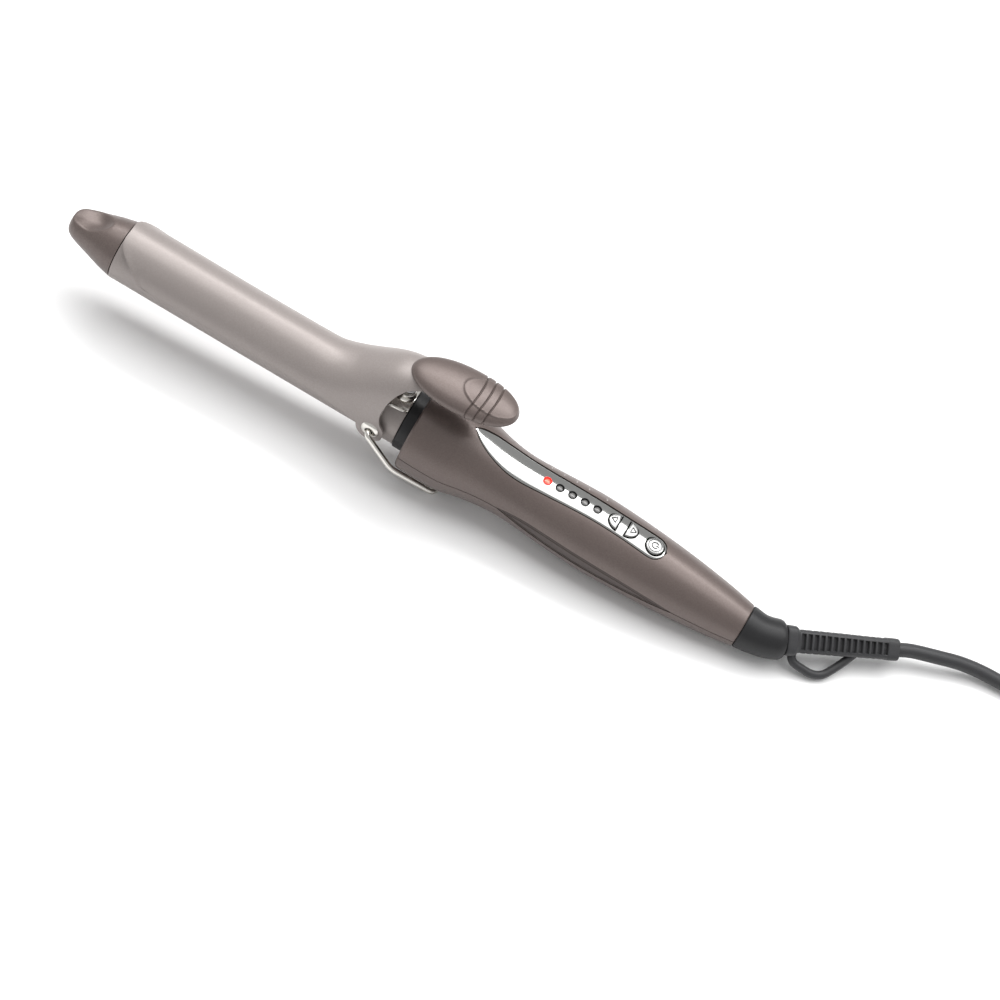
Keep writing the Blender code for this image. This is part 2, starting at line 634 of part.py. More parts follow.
def make_handle(iron):
    upper = iron.add("handle_upper_shell", shell_sheet(True), "brown_plastic")
    lower = iron.add("handle_lower_shell", shell_sheet(False), "brown_plastic")
    for shell in (upper, lower):
        thicken(shell, HANDLE_WALL, -1)

    for number, x in enumerate(SCREW_X, 1):
        centre = handle_centre(x)
        floor, head = centre - handle_radius(x), centre - SCREW_HEAD_DROP
        boss = rod(floor + 1.0, centre - GAP / 2, SCREW_BOSS_R, sides=16)
        post = iron.cutter(f"add_post_{number}", boss, origin=(x, 0, 0))
        boolean(lower, post, "UNION")
        well = turned([
            (floor - 3.0, 0.0), (floor - 3.0, 2.7), (head + 1.7, 2.7), (head + 1.7, 1.6), (centre + 1.0, 1.6),
            (centre + 1.0, 0.0),
        ], "Z", 16)
        boolean(lower, iron.cutter(f"cut_well_{number}", well, origin=(x, 0, 0)))
        boss = rod(centre + GAP / 2, handle_top(x) - 1.0, SCREW_BOSS_R, sides=16)
        boolean(upper, iron.cutter(f"add_upper_post_{number}", boss, origin=(x, 0, 0)), "UNION")
        thread = rod(centre - 1.0, centre + 7.0, 1.5, sides=16)
        boolean(upper, iron.cutter(f"cut_thread_{number}", thread, origin=(x, 0, 0)))
        screw = turned([
            (head, 0.0), (head, 2.3), (head + 1.4, 2.3), (head + 1.4, 1.2),
            (centre + 6.5, 1.2), (centre + 6.5, 0.0),
        ], "Z", 16)
        iron.add(f"handle_screw_{number}", screw, "steel", origin=(x, 0, 0))

    boolean(upper, iron.cutter("cut_panel_opening", prism(panel_outline(GAP), -1.5, 25.0)))

    for name, side in (("side_inlay_left", -1), ("side_inlay_right", 1)):
        rows = []
        for x in steps(SIDE_INLAY[0][0], SIDE_INLAY[-1][0], 15):
            radius, reach = handle_radius(x) - 0.15, read_curve(SIDE_INLAY, x)
            rows.append([
                (x, side * radius * math.cos(angle), handle_centre(x) + radius * math.sin(angle))
                for angle in steps(-reach, reach, 5)
            ])
        inlay = iron.add(name, sheet(rows if side > 0 else [row[::-1] for row in rows]), "inlay_brown")
        thicken(inlay, 1.4, -1)
        window = prism(inlay_outline(GAP), 0.0, 14.0)
        bmesh.ops.rotate(window, verts=window.verts, matrix=Matrix.Rotation(math.pi / 2, 3, "X"))
        bmesh.ops.translate(window, verts=window.verts, vec=(0, 22.0 if side > 0 else -8.0, 0))
        cutter = iron.cutter(f"cut_{name}", window)
        boolean(upper, cutter)
        boolean(lower, cutter)
    for modifier in [*upper.modifiers, *lower.modifiers]:
        if modifier.type == "BOOLEAN":  # the exact solver leaves the second post's seam open
            modifier.solver = "MANIFOLD"


def make_controls(iron):
    xs = steps(PANEL_HALF_WIDTH[0][0], PANEL_HALF_WIDTH[-1][0], 20)
    rows = []
    for x in xs:
        half = read_curve(PANEL_HALF_WIDTH, x)
        rows.append([(x, half * share, handle_top(x, half * share) - 0.1) for share in (1.0, 0.5, -0.5, -1.0)])
    panel = iron.add("control_panel", sheet(rows), "chrome")
    thicken(panel, PANEL_THICKNESS, -1)

    for number, x in enumerate(LED_X, 1):
        top = handle_top(x)
        hole = rod(top - 5.0, top + 3.0, LED_R + GAP, sides=16)
        boolean(panel, iron.cutter(f"cut_led_{number}", hole, origin=(x, 0, 0)))
        profile = [(4.4, 0.0), (4.4, LED_R), (top, LED_R), (top + 0.3, LED_R * 0.6), (top + 0.35, 0.0)]
        lens = turned(profile, "Z", 16)
        iron.add(f"led_lens_{number}", lens, "lit_red" if number == 1 else "lens_dark", origin=(x, 0, 0))

    for number, (name, x) in enumerate(BUTTON_X.items(), 1):
        top = handle_top(x)
        opening = prism(button_outline(name, GAP), -5.0, 3.0)
        boolean(panel, iron.cutter(f"cut_{name}", opening, origin=(x, 0, top)))
        block = prism(button_outline(name), -BUTTON_DEPTH, BUTTON_PROUD)
        button = iron.add(name, block, "chrome", origin=(x, 0, top))
        bevel = button.modifiers.new("Soft edge", "BEVEL")
        bevel.width = 0.35 * MM
        bevel.segments = 1
        switch = box((x - 2.9, -2.9, 4.4), (x + 2.9, 2.9, 6.7))
        iron.add(f"key_switch_{number}", switch, "black_plastic")
    iron.add("circuit_board", box(*BOARD), "board_green")


def bent(distance):
    """Where the cord's line is, and how far it has turned, at a distance from the elbow."""
    if distance < 0:
        return Vector((ELBOW[0] + distance, ELBOW[1], ELBOW[2])), 0.0
    heading = Vector((math.cos(ELBOW_TURN), math.sin(ELBOW_TURN), 0))
    return Vector(ELBOW) + heading * distance, ELBOW_TURN


def make_socket(iron):
    """The black end of the handle, which holds the swivelling sleeve."""
    profile = (
        (-17.0, 3.7), (-17.0, 7.6), (-12.6, 7.6), (-12.6, 7.1), (-9.4, 7.1), (-9.4, 9.1),
        (-6.0, 8.8), (-2.5, 8.4),
        (0.0, 8.3), (3.0, 8.3), (6.0, 8.1), (7.7, 7.5), (7.7, 5.7), (2.6, 5.7), (2.6, 3.7), (0.0, 3.7),
    )
    rings = []
    for distance, radius in profile:
        middle, turn = bent(distance)
        if distance == 0.0:
            turn = ELBOW_TURN / 2
        across = Vector((-math.sin(turn), math.cos(turn), 0))
        rings.append([
            middle + across * radius * math.cos(angle) + Vector((0, 0, radius * math.sin(angle)))
            for angle in [math.tau * n / 20 for n in range(20)]
        ])
    iron.add("end_cap", rings_to_solid(rings), "black_plastic")


def sleeve_frame():
    """The swivel's own axes: along the cord, towards the hanging loop, and across both."""
    heading = Vector((math.cos(ELBOW_TURN), math.sin(ELBOW_TURN), 0))
    level = Vector((math.sin(ELBOW_TURN), -math.cos(ELBOW_TURN), 0))
    outward = level * math.cos(LOOP_TILT) - Vector((0, 0, 1)) * math.sin(LOOP_TILT)
    across = heading.cross(outward)
    return Matrix((heading, outward, across)).transposed().to_4x4()


def rounded_square(half, sides=24):
    """Points of a square with well rounded corners."""
    points = []
    for number in range(sides):
        angle = math.tau * number / sides
        c, s = math.cos(angle), math.sin(angle)
        size = half / (abs(c) ** 4.5 + abs(s) ** 4.5) ** (1 / 4.5)
        points.append((size * c, size * s))
    return points


def make_sleeve(iron):
    """The strain relief: a neck in the socket, a collar, the long flexible part and its hanging loop."""
    stations = (
        (3.2, 5.2), (8.0, 5.2), (RELIEF_START, 6.2), (12.6, 6.0), (14.0, 4.75), (30.0, 4.6), (49.0, 4.3),
        (50.0, 4.4), (RELIEF_END, 4.2),
    )
    bm = bmesh.new()
    rings = []
    for distance, half in stations:
        outline = rounded_square(half)
        if distance <= 8.0:
            turns = [math.tau * n / 24 for n in range(24)]
            outline = [(half * math.cos(a), half * math.sin(a)) for a in turns]
        rings.append([bm.verts.new((distance, y, z)) for y, z in outline])
    for ring, following in zip(rings, rings[1:]):
        for number in range(24):
            after = (number + 1) % 24
            bm.faces.new((ring[number], ring[after], following[after], following[number]))
    bm.faces.new(rings[0])
    bm.faces.new(rings[-1])
    sleeve = iron.add("strain_relief", bm, "black_rubber", origin=ELBOW, turn=sleeve_frame())
    route = smooth_route([(along_axis, out, 0.0) for along_axis, out in LOOP_ROUTE], 3.5)
    loop = iron.cutter("add_hanging_loop", wire(route, LOOP_R), origin=ELBOW, turn=sleeve_frame())
    boolean(sleeve, loop, "UNION")


def settle(iron):
    """Lays the iron on the table, with the middle of its footprint at the world's origin."""
    iron.frame.rotation_euler = (0.0, math.atan(SLOPE), 0.0)
    bpy.context.view_layer.update()
    graph = bpy.context.evaluated_depsgraph_get()
    corners = []
    for item in iron.parts.objects:
        if item.type == "MESH" and item.name != "strain_relief":
            mesh = item.evaluated_get(graph).to_mesh()
            corners += [item.matrix_world @ vert.co for vert in mesh.vertices]
    low = [min(corner[axis] for corner in corners) for axis in range(3)]
    high = [max(corner[axis] for corner in corners) for axis in range(3)]
    iron.frame.location = (-(low[0] + high[0]) / 2, -(low[1] + high[1]) / 2, -low[2])
    bpy.context.view_layer.update()


def hank_outline():
    """The hank seen from above: round ends, drawn in to a waist where the tie holds it."""
    half, mean, draw = HANK_RUN / 2, (HANK_END_R + HANK_WAIST_R) / 2, (HANK_END_R - HANK_WAIST_R) / 2
    turns = steps(-math.pi / 2, math.pi / 2, 13)
    end = [(half + HANK_END_R * math.cos(a), HANK_END_R * math.sin(a)) for a in turns]
    side = [(x, mean - draw * math.cos(math.tau * x / HANK_RUN)) for x in steps(half, -half, 13)[1:-1]]
    half_turn = end + side
    return half_turn + [(-x, -y) for x, y in half_turn]


def make_cord(iron):
    """The cord from the sleeve to its tied hank on the table, and its plug."""
    leaving = iron.frame.matrix_world @ (Vector(bent(RELIEF_END + GAP)[0]) * MM)
    following = iron.frame.matrix_world @ (Vector(bent(RELIEF_END + 7.0)[0]) * MM)
    for name, route in (("cord", [leaving, following, *CORD_ROUTE]), ("cord_tail", list(TAIL_ROUTE))):
        line = smooth_route([Vector(point) / MM for point in route], 12.0 if name == "cord" else 8.0)
        iron.add(name, wire(line, CORD_R), "black_rubber", on_table=True)

    x, y = (value / MM for value in HANK_CENTRE)
    block = prism(hank_outline(), 0.1, HANK_HEIGHT)
    hank = iron.add("cord_hank", block, "black_rubber", origin=(x, y, 0), on_table=True)
    half = TIE_WIDTH / 2 + GAP
    channel = box((-half, -40.0, -5.0), (half, 40.0, TIE_LIFT + TIE_THICKNESS + GAP))
    boolean(hank, iron.cutter("cut_tie_channel", channel, origin=(x, y, 0), on_table=True))

    wide, half = HANK_WAIST_R + 4 * GAP, TIE_WIDTH / 2
    low, high = TIE_LIFT + TIE_THICKNESS, HANK_HEIGHT + GAP
    tie = box(
        (-half, -wide - TIE_THICKNESS, low - TIE_THICKNESS), (half, wide + TIE_THICKNESS, high + TIE_THICKNESS))
    tie = iron.add("hank_tie", tie, "black_plastic", origin=(x, y, 0), on_table=True)
    inside = box((-half - 1.0, -wide, low), (half + 1.0, wide, high))
    boolean(tie, iron.cutter("cut_tie_inside", inside, origin=(x, y, 0), on_table=True))


def make_plug(iron):
    start = Vector(PLUG_START) / MM
    wide, thick = PLUG_WIDTH / 2, PLUG_THICKNESS / 2
    body = box((0.0, -wide, -thick), (PLUG_LENGTH_X, wide, thick))
    bmesh.ops.bevel(body, geom=body.edges[:], offset=3.0, segments=2, affect="EDGES")
    for vert in body.verts:
        if vert.co.x < PLUG_LENGTH_X * 0.3:
            vert.co.y *= 0.55
            vert.co.z *= 0.8
    iron.add("plug_body", body, "black_plastic", origin=start, on_table=True)
    for number, side in enumerate((-1, 1), 1):
        profile = [
            (0.0, 0.0), (0.0, PIN_R), (PIN_LENGTH - 1.0, PIN_R), (PIN_LENGTH, PIN_R - 0.8), (PIN_LENGTH, 0.0)]
        pin = turned(profile, "X", 16)
        place = start + Vector((PLUG_LENGTH_X + GAP, side * PIN_SPACING / 2, 0))
        iron.add(f"plug_pin_{number}", pin, "steel", origin=place, on_table=True)


def main():
    clear_scene()
    iron = Iron()
    make_barrel(iron)
    make_heater(iron)
    make_clip(iron)
    make_hinge(iron)
    make_handle(iron)
    make_controls(iron)
    make_socket(iron)
    make_sleeve(iron)
    settle(iron)
    make_cord(iron)
    make_plug(iron)


main()
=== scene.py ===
# %% [markdown]
# # A curling iron, piece by piece
# The mechanical design already exists: where every part sits, how big it is and what it turns about.
# This lesson makes the looks. Each cell makes one piece or one finish, says what it is on the real iron,
# and prints what it made, so a reader can stop after any cell and look.

# %% Load the frame
import json
import math

import bmesh
import bpy
from mathutils import Matrix, Vector


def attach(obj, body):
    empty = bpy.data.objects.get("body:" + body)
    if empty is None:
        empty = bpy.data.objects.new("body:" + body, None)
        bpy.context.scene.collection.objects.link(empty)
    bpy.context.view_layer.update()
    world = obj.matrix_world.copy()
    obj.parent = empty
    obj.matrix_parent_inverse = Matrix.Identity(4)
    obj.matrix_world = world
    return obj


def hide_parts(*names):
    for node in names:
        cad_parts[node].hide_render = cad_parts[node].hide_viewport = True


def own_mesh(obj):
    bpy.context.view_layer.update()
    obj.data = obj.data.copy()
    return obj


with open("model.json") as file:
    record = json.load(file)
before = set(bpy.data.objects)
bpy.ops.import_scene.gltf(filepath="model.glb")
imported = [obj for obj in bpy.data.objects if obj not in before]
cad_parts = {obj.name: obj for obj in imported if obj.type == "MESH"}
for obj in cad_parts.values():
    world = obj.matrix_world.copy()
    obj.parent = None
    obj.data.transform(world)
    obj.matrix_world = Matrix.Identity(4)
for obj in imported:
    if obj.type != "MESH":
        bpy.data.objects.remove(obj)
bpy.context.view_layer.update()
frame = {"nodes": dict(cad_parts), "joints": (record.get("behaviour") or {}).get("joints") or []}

nodes = frame["nodes"]
print("parts in the frame:", len(nodes))

# %% [markdown]
# ## The iron's own axes
# The iron lies slightly nose-up on its wire stand, so its barrel isn't level. Drawing on a slope is tiresome.
# It is easier to draw in millimetres along the barrel, with X from the tip to the cord, and to let one matrix
# lay the drawing on the table. Two joints whose places are known in both frames give that matrix.

# %% One matrix lays the drawing on the table
MM = 0.001
HINGE = Vector((146.2, 0.0, 0.5))
ELBOW = Vector((323.0, 0.0, -6.5))
joint_at = {joint["name"]: Vector(joint["pos_m"]) for joint in frame["joints"] if "pos_m" in joint}
drawn = ELBOW - HINGE
lying = joint_at["cord_swivel"] - joint_at["clip_hinge"]
PITCH = math.atan2(drawn.z, drawn.x) - math.atan2(lying.z, lying.x)
LAY_DOWN = Matrix.Translation(joint_at["clip_hinge"]) @ Matrix.Rotation(PITCH, 4, "Y")
IRON = LAY_DOWN @ Matrix.Scale(MM, 4) @ Matrix.Translation(-HINGE)
TABLE = Matrix.Scale(MM, 4)
print(f"the barrel leans {math.degrees(PITCH):.2f} degrees")

# %% [markdown]
# ## The camera
# A product picture is usually taken with a long lens from well above, and then turned so that the object
# runs across the frame. The camera stands over the handle, looks down at it steeply and is rolled. Its matrix
# is built from three directions, which says more than a list of Euler angles.

# %% The camera looks down across the barrel
LOOK_DOWN = math.radians(55.0)
ROLL = math.radians(30.6)
CAMERA_FOOT, CAMERA_DISTANCE = 248.0, 1280.0
AIM_ALONG, AIM_ACROSS = 204.6, -9.85
toward_camera = Vector((0.0, -math.cos(LOOK_DOWN), math.sin(LOOK_DOWN)))
across_view = Vector((0.0, math.sin(LOOK_DOWN), math.cos(LOOK_DOWN)))
camera_at = IRON @ (Vector((CAMERA_FOOT, 0.0, 0.0)) + toward_camera * CAMERA_DISTANCE)
aim_at = IRON @ (Vector((AIM_ALONG, 0.0, 0.0)) + across_view * AIM_ACROSS)
ahead = (aim_at - camera_at).normalized()
upward = LAY_DOWN.to_3x3() @ (Vector((-math.sin(ROLL), 0.0, 0.0)) + across_view * math.cos(ROLL))
right = ahead.cross(upward).normalized()
upward = right.cross(ahead)
camera = bpy.data.objects.new("camera", bpy.data.cameras.new("camera"))
camera.data.lens = 115.8
camera.data.sensor_width = 36.0
camera.data.clip_start = 0.05
camera.matrix_world = Matrix.Translation(camera_at) @ Matrix((right, upward, -ahead)).transposed().to_4x4()
bpy.context.scene.collection.objects.link(camera)
bpy.context.scene.camera = camera
print("camera at", [round(value, 3) for value in camera_at])

# %% [markdown]
# ## Curves read from a few points
# A moulded handle has no straight line in it. Its radius, its centre line and the clip's height are each
# given by a handful of points, and a smooth curve is read between them wherever a value is needed.

# %% Read a smooth curve
def read_curve(points, x):
    """The value at x of a smooth curve through (x, value) points, flat beyond its ends."""
    if x <= points[0][0]:
        return points[0][1]
    for number in range(len(points) - 1):
        (x0, v0), (x1, v1) = points[number:number + 2]
        if x <= x1:
            break
    else:
        return points[-1][1]
    before = points[max(number - 1, 0)]
    after = points[min(number + 2, len(points) - 1)]
    slope_in = (v1 - before[1]) / (x1 - before[0])
    slope_out = (after[1] - v0) / (after[0] - x0)
    span = x1 - x0
    t = (x - x0) / span
    return (
        (2 * t**3 - 3 * t**2 + 1) * v0 + (t**3 - 2 * t**2 + t) * span * slope_in
        + (3 * t**2 - 2 * t**3) * v1 + (t**3 - t**2) * span * slope_out
    )


def steps(first, last, count):
    """Evenly spaced numbers, both ends included."""
    return [first + (last - first) * number / (count - 1) for number in range(count)]


def ease(value, start, end):
    """0 before start, 1 after end, and a smooth rise between."""
    t = min(max((value - start) / (end - start), 0.0), 1.0)
    return t * t * (3.0 - 2.0 * t)


print("halfway up an ease:", ease(0.5, 0.0, 1.0))

# %% [markdown]
# ## From points to pieces
# Most pieces here are skins drawn through rows of points: rings about an axis, or a sheet. One function makes
# the skin and another keeps it as an object: it moves the drawing into the world, shades it smooth with sharp
# corners left sharp, gives it its finish, hangs it on its moving body and hides the plain part it replaces.

# %% Skins
def skin(rows, around=False, ends=False):
    """A mesh through rows of points. around joins each row's two ends, ends closes the first and last row."""
    bm = bmesh.new()
    grid = [[bm.verts.new(point) for point in row] for row in rows]
    count = len(grid[0])
    for row, following in zip(grid, grid[1:]):
        for number in range(count if around else count - 1):
            after = (number + 1) % count
            bm.faces.new((row[number], row[after], following[after], following[number]))
    if ends:
        bm.faces.new(grid[0])
        bm.faces.new(grid[-1])
    bmesh.ops.remove_doubles(bm, verts=bm.verts, dist=0.0004)
    return bm


def turned(profile, axis="X", sides=96, closed=False):
    """A shape turned about an axis from (place along it, radius) points."""
    place = {
        "X": lambda along, radius, c, s: (along, radius * c, radius * s),
        "Y": lambda along, radius, c, s: (radius * c, along, radius * s),
        "Z": lambda along, radius, c, s: (radius * c, radius * s, along),
    }[axis]
    turns = [math.tau * number / sides for number in range(sides)]
    points = list(profile) + ([profile[0]] if closed else [])
    rows = [[place(along, radius, math.cos(a), math.sin(a)) for a in turns] for along, radius in points]
    return skin(rows, True)


def prism(outline, low, high):
    """An upright block with the given (x, y) outline."""
    return skin([[(x, y, low) for x, y in outline], [(x, y, high) for x, y in outline]], True, True)


def moved(bm, offset):
    bmesh.ops.translate(bm, verts=bm.verts, vec=offset)
    return bm


def as_object(name, bm, place=IRON):
    """The drawing as an object in the world, not yet a finished piece."""
    bmesh.ops.recalc_face_normals(bm, faces=bm.faces)
    mesh = bpy.data.meshes.new(name)
    bm.to_mesh(mesh)
    bm.free()
    mesh.transform(place)
    item = bpy.data.objects.new(name, mesh)
    bpy.context.scene.collection.objects.link(item)
    return item


def settle_modifiers(item):
    """Turns an object's modifiers into its real mesh."""
    graph = bpy.context.evaluated_depsgraph_get()
    mesh = bpy.data.meshes.new_from_object(item.evaluated_get(graph))
    item.modifiers.clear()
    item.data = mesh


def finish_piece(item, look, body, stands_for=(), sharp=38.0):
    """Gives a piece its finish, hangs it on its body and hides the plain parts it stands for."""
    if item.type == "MESH":
        item.data.shade_smooth()
        item.data.set_sharp_from_angle(angle=math.radians(sharp))
    item.data.materials.clear()
    item.data.materials.append(look)
    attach(item, body)
    if stands_for:
        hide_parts(*stands_for)
    return item


print("ready to draw")

# %% [markdown]
# ## Cutting and softening
# Openings are cut with a Boolean. Both shapes must be closed; the Manifold solver is quick on fine meshes.
# A moulded or pressed edge is never a knife edge, so a small Bevel follows where a corner shows.

# %% Cut and soften
def cut(item, tools, solver="MANIFOLD"):
    """Cuts tools (drawings in the iron's frame) out of an object."""
    helpers = []
    for number, tool in enumerate(tools):
        helper = as_object(f"{item.name}_cutter_{number}", tool)
        modifier = item.modifiers.new(helper.name, "BOOLEAN")
        modifier.object, modifier.operation, modifier.solver = helper, "DIFFERENCE", solver
        helpers.append(helper)
    settle_modifiers(item)
    for helper in helpers:
        bpy.data.objects.remove(helper, do_unlink=True)


def soften(item, width, segments=3, angle=40.0):
    """Rounds the corners of an object by a width in millimetres."""
    bevel = item.modifiers.new("soft edges", "BEVEL")
    bevel.width, bevel.segments = width * MM, segments
    bevel.limit_method, bevel.angle_limit = "ANGLE", math.radians(angle)
    bevel.use_clamp_overlap = True
    settle_modifiers(item)


def thicken(item, thickness, side=0.0):
    """Gives a sheet its metal: side is -1 below, 1 above and 0 for both."""
    solid = item.modifiers.new("metal", "SOLIDIFY")
    solid.thickness, solid.offset, solid.use_even_offset = thickness * MM, side, True
    settle_modifiers(item)


print("ready to cut")

# %% [markdown]
# ## Shared effects as node groups
# Every finish on this iron has some grain and some unevenness, at different scales. The effect is built once
# as a node group with named sockets, and each material gives it its own numbers. The group puts out only
# values, colours and normals, and the shader itself stays in the material.

# %% A node group with named sockets
def new_group(name, inputs, outputs):
    """An empty node group: inputs are (name, kind, value), outputs are (name, kind)."""
    tree = bpy.data.node_groups.new(name, "ShaderNodeTree")
    for label, kind, value in inputs:
        socket = tree.interface.new_socket(name=label, in_out="INPUT", socket_type=f"NodeSocket{kind}")
        socket.default_value = value
    for label, kind in outputs:
        tree.interface.new_socket(name=label, in_out="OUTPUT", socket_type=f"NodeSocket{kind}")
    return tree, tree.nodes.new("NodeGroupInput"), tree.nodes.new("NodeGroupOutput")


def node(tree, kind, links=(), **settings):
    """A node with its settings, and its input sockets linked or set from (socket, source or value) pairs."""
    made = tree.nodes.new(f"ShaderNode{kind}")
    for label, value in settings.items():
        setattr(made, label, value)
    for socket, source in links:
        if isinstance(source, bpy.types.NodeSocket):
            tree.links.new(source, made.inputs[socket])
        else:
            made.inputs[socket].default_value = source
    return made


print("ready to build groups")

# %% Moulded grain: a fine bump and an uneven gloss
grain, given, result = new_group(
    "moulded_grain",
    (("Scale", "Float", 1500.0), ("Depth", "Float", 0.1), ("Gloss", "Float", 0.4), ("Spread", "Float", 0.1)),
    (("Roughness", "Float"), ("Normal", "Vector")),
)
place = node(grain, "TexCoord").outputs["Object"]
fine = node(grain, "TexNoise", (("Vector", place), ("Scale", given.outputs["Scale"]), ("Detail", 3.0)))
broad = node(grain, "TexNoise", (("Vector", place), ("Scale", 60.0), ("Detail", 2.0)))
both = node(grain, "Math", ((0, fine.outputs["Fac"]), (1, broad.outputs["Fac"])), operation="ADD")
centred = node(grain, "Math", ((0, both.outputs[0]), (1, 1.0)), operation="SUBTRACT")
rough = node(
    grain, "Math", ((0, centred.outputs[0]), (1, given.outputs["Spread"]), (2, given.outputs["Gloss"])),
    operation="MULTIPLY_ADD",
)
bump = node(
    grain, "Bump",
    (("Height", fine.outputs["Fac"]), ("Strength", given.outputs["Depth"]), ("Distance", 0.0002)),
)
grain.links.new(rough.outputs[0], result.inputs["Roughness"])
grain.links.new(bump.outputs["Normal"], result.inputs["Normal"])
print("group:", grain.name)

# %% [markdown]
# Metallic paint and pearl plastic hold tiny flakes that lie at different angles, so the colour is never flat.
# A cell texture gives each flake its own tone, and a slow noise adds the cloudiness of a sprayed coat.

# %% Flakes: many small tones of one colour
flakes, given, result = new_group(
    "pearl_flakes",
    (
        ("Colour", "Color", (0.5, 0.5, 0.5, 1.0)), ("Flake", "Color", (0.8, 0.8, 0.8, 1.0)),
        ("Scale", "Float", 2500.0), ("Share", "Float", 0.25),
    ),
    (("Colour", "Color"),),
)
place = node(flakes, "TexCoord").outputs["Object"]
cells = node(flakes, "TexVoronoi", (("Vector", place), ("Scale", given.outputs["Scale"])))
tone = node(flakes, "SeparateColor", ((0, cells.outputs["Color"]),))
cloud = node(flakes, "TexNoise", (("Vector", place), ("Scale", 35.0), ("Detail", 3.0)))
mixed = node(flakes, "Math", ((0, tone.outputs[0]), (1, cloud.outputs["Fac"])), operation="MULTIPLY")
share = node(flakes, "Math", ((0, mixed.outputs[0]), (1, given.outputs["Share"])), operation="MULTIPLY")
blended = node(
    flakes, "Mix",
    ((0, share.outputs[0]), (6, given.outputs["Colour"]), (7, given.outputs["Flake"])), data_type="RGBA",
)
flakes.links.new(blended.outputs[2], result.inputs["Colour"])
print("group:", flakes.name)

# %% [markdown]
# Handled things are never evenly clean: fingers leave a faint film that dulls the shine in patches. The mask
# is a stretched noise with a soft threshold, and a material uses it to shift its gloss.

# %% Finger film: a soft mask of duller patches
film, given, result = new_group(
    "finger_film", (("Scale", "Float", 45.0), ("Amount", "Float", 0.1), ("Gloss", "Float", 0.3)),
    (("Roughness", "Float"),),
)
place = node(film, "TexCoord").outputs["Object"]
patches = node(film, "TexNoise", (("Vector", place), ("Scale", given.outputs["Scale"]), ("Detail", 6.0)))
mask = node(film, "MapRange", (("Value", patches.outputs["Fac"]), ("From Min", 0.45), ("From Max", 0.7)))
dulled = node(
    film, "Math", ((0, mask.outputs[0]), (1, given.outputs["Amount"]), (2, given.outputs["Gloss"])),
    operation="MULTIPLY_ADD",
)
film.links.new(dulled.outputs[0], result.inputs["Roughness"])
print("group:", film.name)

# %% [markdown]
# ## Finishes
# One function starts a material: it takes the shader's constant settings, such as metallic and coat, and puts
# them on the shader's own sockets. The colour and the gloss come through the groups.

# %% Start a material
def grained(name, colour, flake, *, share=0.25, flake_scale=2500.0, scale=1500.0, depth=0.1, gloss=0.4,
            spread=0.1, **constants):
    """A material whose colour comes from the flakes and whose gloss and bump come from the grain."""
    material = bpy.data.materials.new(name)
    material.use_nodes = True
    tree = material.node_tree
    shader = tree.nodes["Principled BSDF"]
    for label, value in constants.items():
        shader.inputs[label.replace("_", " ").title().replace("Ior", "IOR")].default_value = value
    colouring = node(
        tree, "Group",
        (("Colour", (*colour, 1.0)), ("Flake", (*flake, 1.0)), ("Scale", flake_scale), ("Share", share)),
        node_tree=flakes,
    )
    texture = node(
        tree, "Group", (("Scale", scale), ("Depth", depth), ("Gloss", gloss), ("Spread", spread)),
        node_tree=grain,
    )
    tree.links.new(colouring.outputs["Colour"], shader.inputs["Base Color"])
    tree.links.new(texture.outputs["Roughness"], shader.inputs["Roughness"])
    tree.links.new(texture.outputs["Normal"], shader.inputs["Normal"])
    return material


print("ready to mix finishes")

# %% [markdown]
# ### Ceramic barrel coating
# The barrel and its clip carry a sprayed taupe coating. It is satin: it shows a long soft highlight and no
# mirror image, with a very fine sparkle from the metal in the spray.

# %% Barrel coating
coating = grained(
    "barrel_coating", (0.285, 0.252, 0.240), (0.46, 0.42, 0.40), share=0.30, scale=2600.0, depth=0.05,
    gloss=0.40, spread=0.06, metallic=0.30, specular_ior_level=0.5,
)
print("finish:", coating.name)

# %% [markdown]
# ### Pearl brown plastic
# The handle, the lever and the tip are moulded in a pearl brown and lacquered, so there is a soft metallic
# body under a thin clear coat.

# %% Pearl brown, its inlay darkened by painted shade, and its inside
pearl = grained(
    "pearl_brown", (0.124, 0.096, 0.088), (0.27, 0.225, 0.203), share=0.30, flake_scale=3000.0, scale=1800.0,
    depth=0.06, gloss=0.40, spread=0.07, metallic=0.42, coat_weight=0.12, coat_roughness=0.25,
)
# The inlay's darker brown is painted shade: it stands for the shade on the handle's lower side and in the
# leaf's shallow groove.
inlay_pearl_painted_shade = grained(
    "inlay_brown", (0.060, 0.046, 0.042), (0.13, 0.105, 0.092), share=0.25, flake_scale=3000.0, scale=1800.0,
    depth=0.06, gloss=0.34, spread=0.06, metallic=0.5, coat_weight=0.10, coat_roughness=0.2,
)
print("finishes:", pearl.name, inlay_pearl_painted_shade.name)

# %% [markdown]
# ### Metals
# The control panel is plated plastic: a dark mirror with a faint film of fingerprints. The keys are darker and
# duller, so that their edges read. The wire and the rivets are bright nickel, a little warmer and softer.
# Screws and pins are plain steel with the lines left by turning.

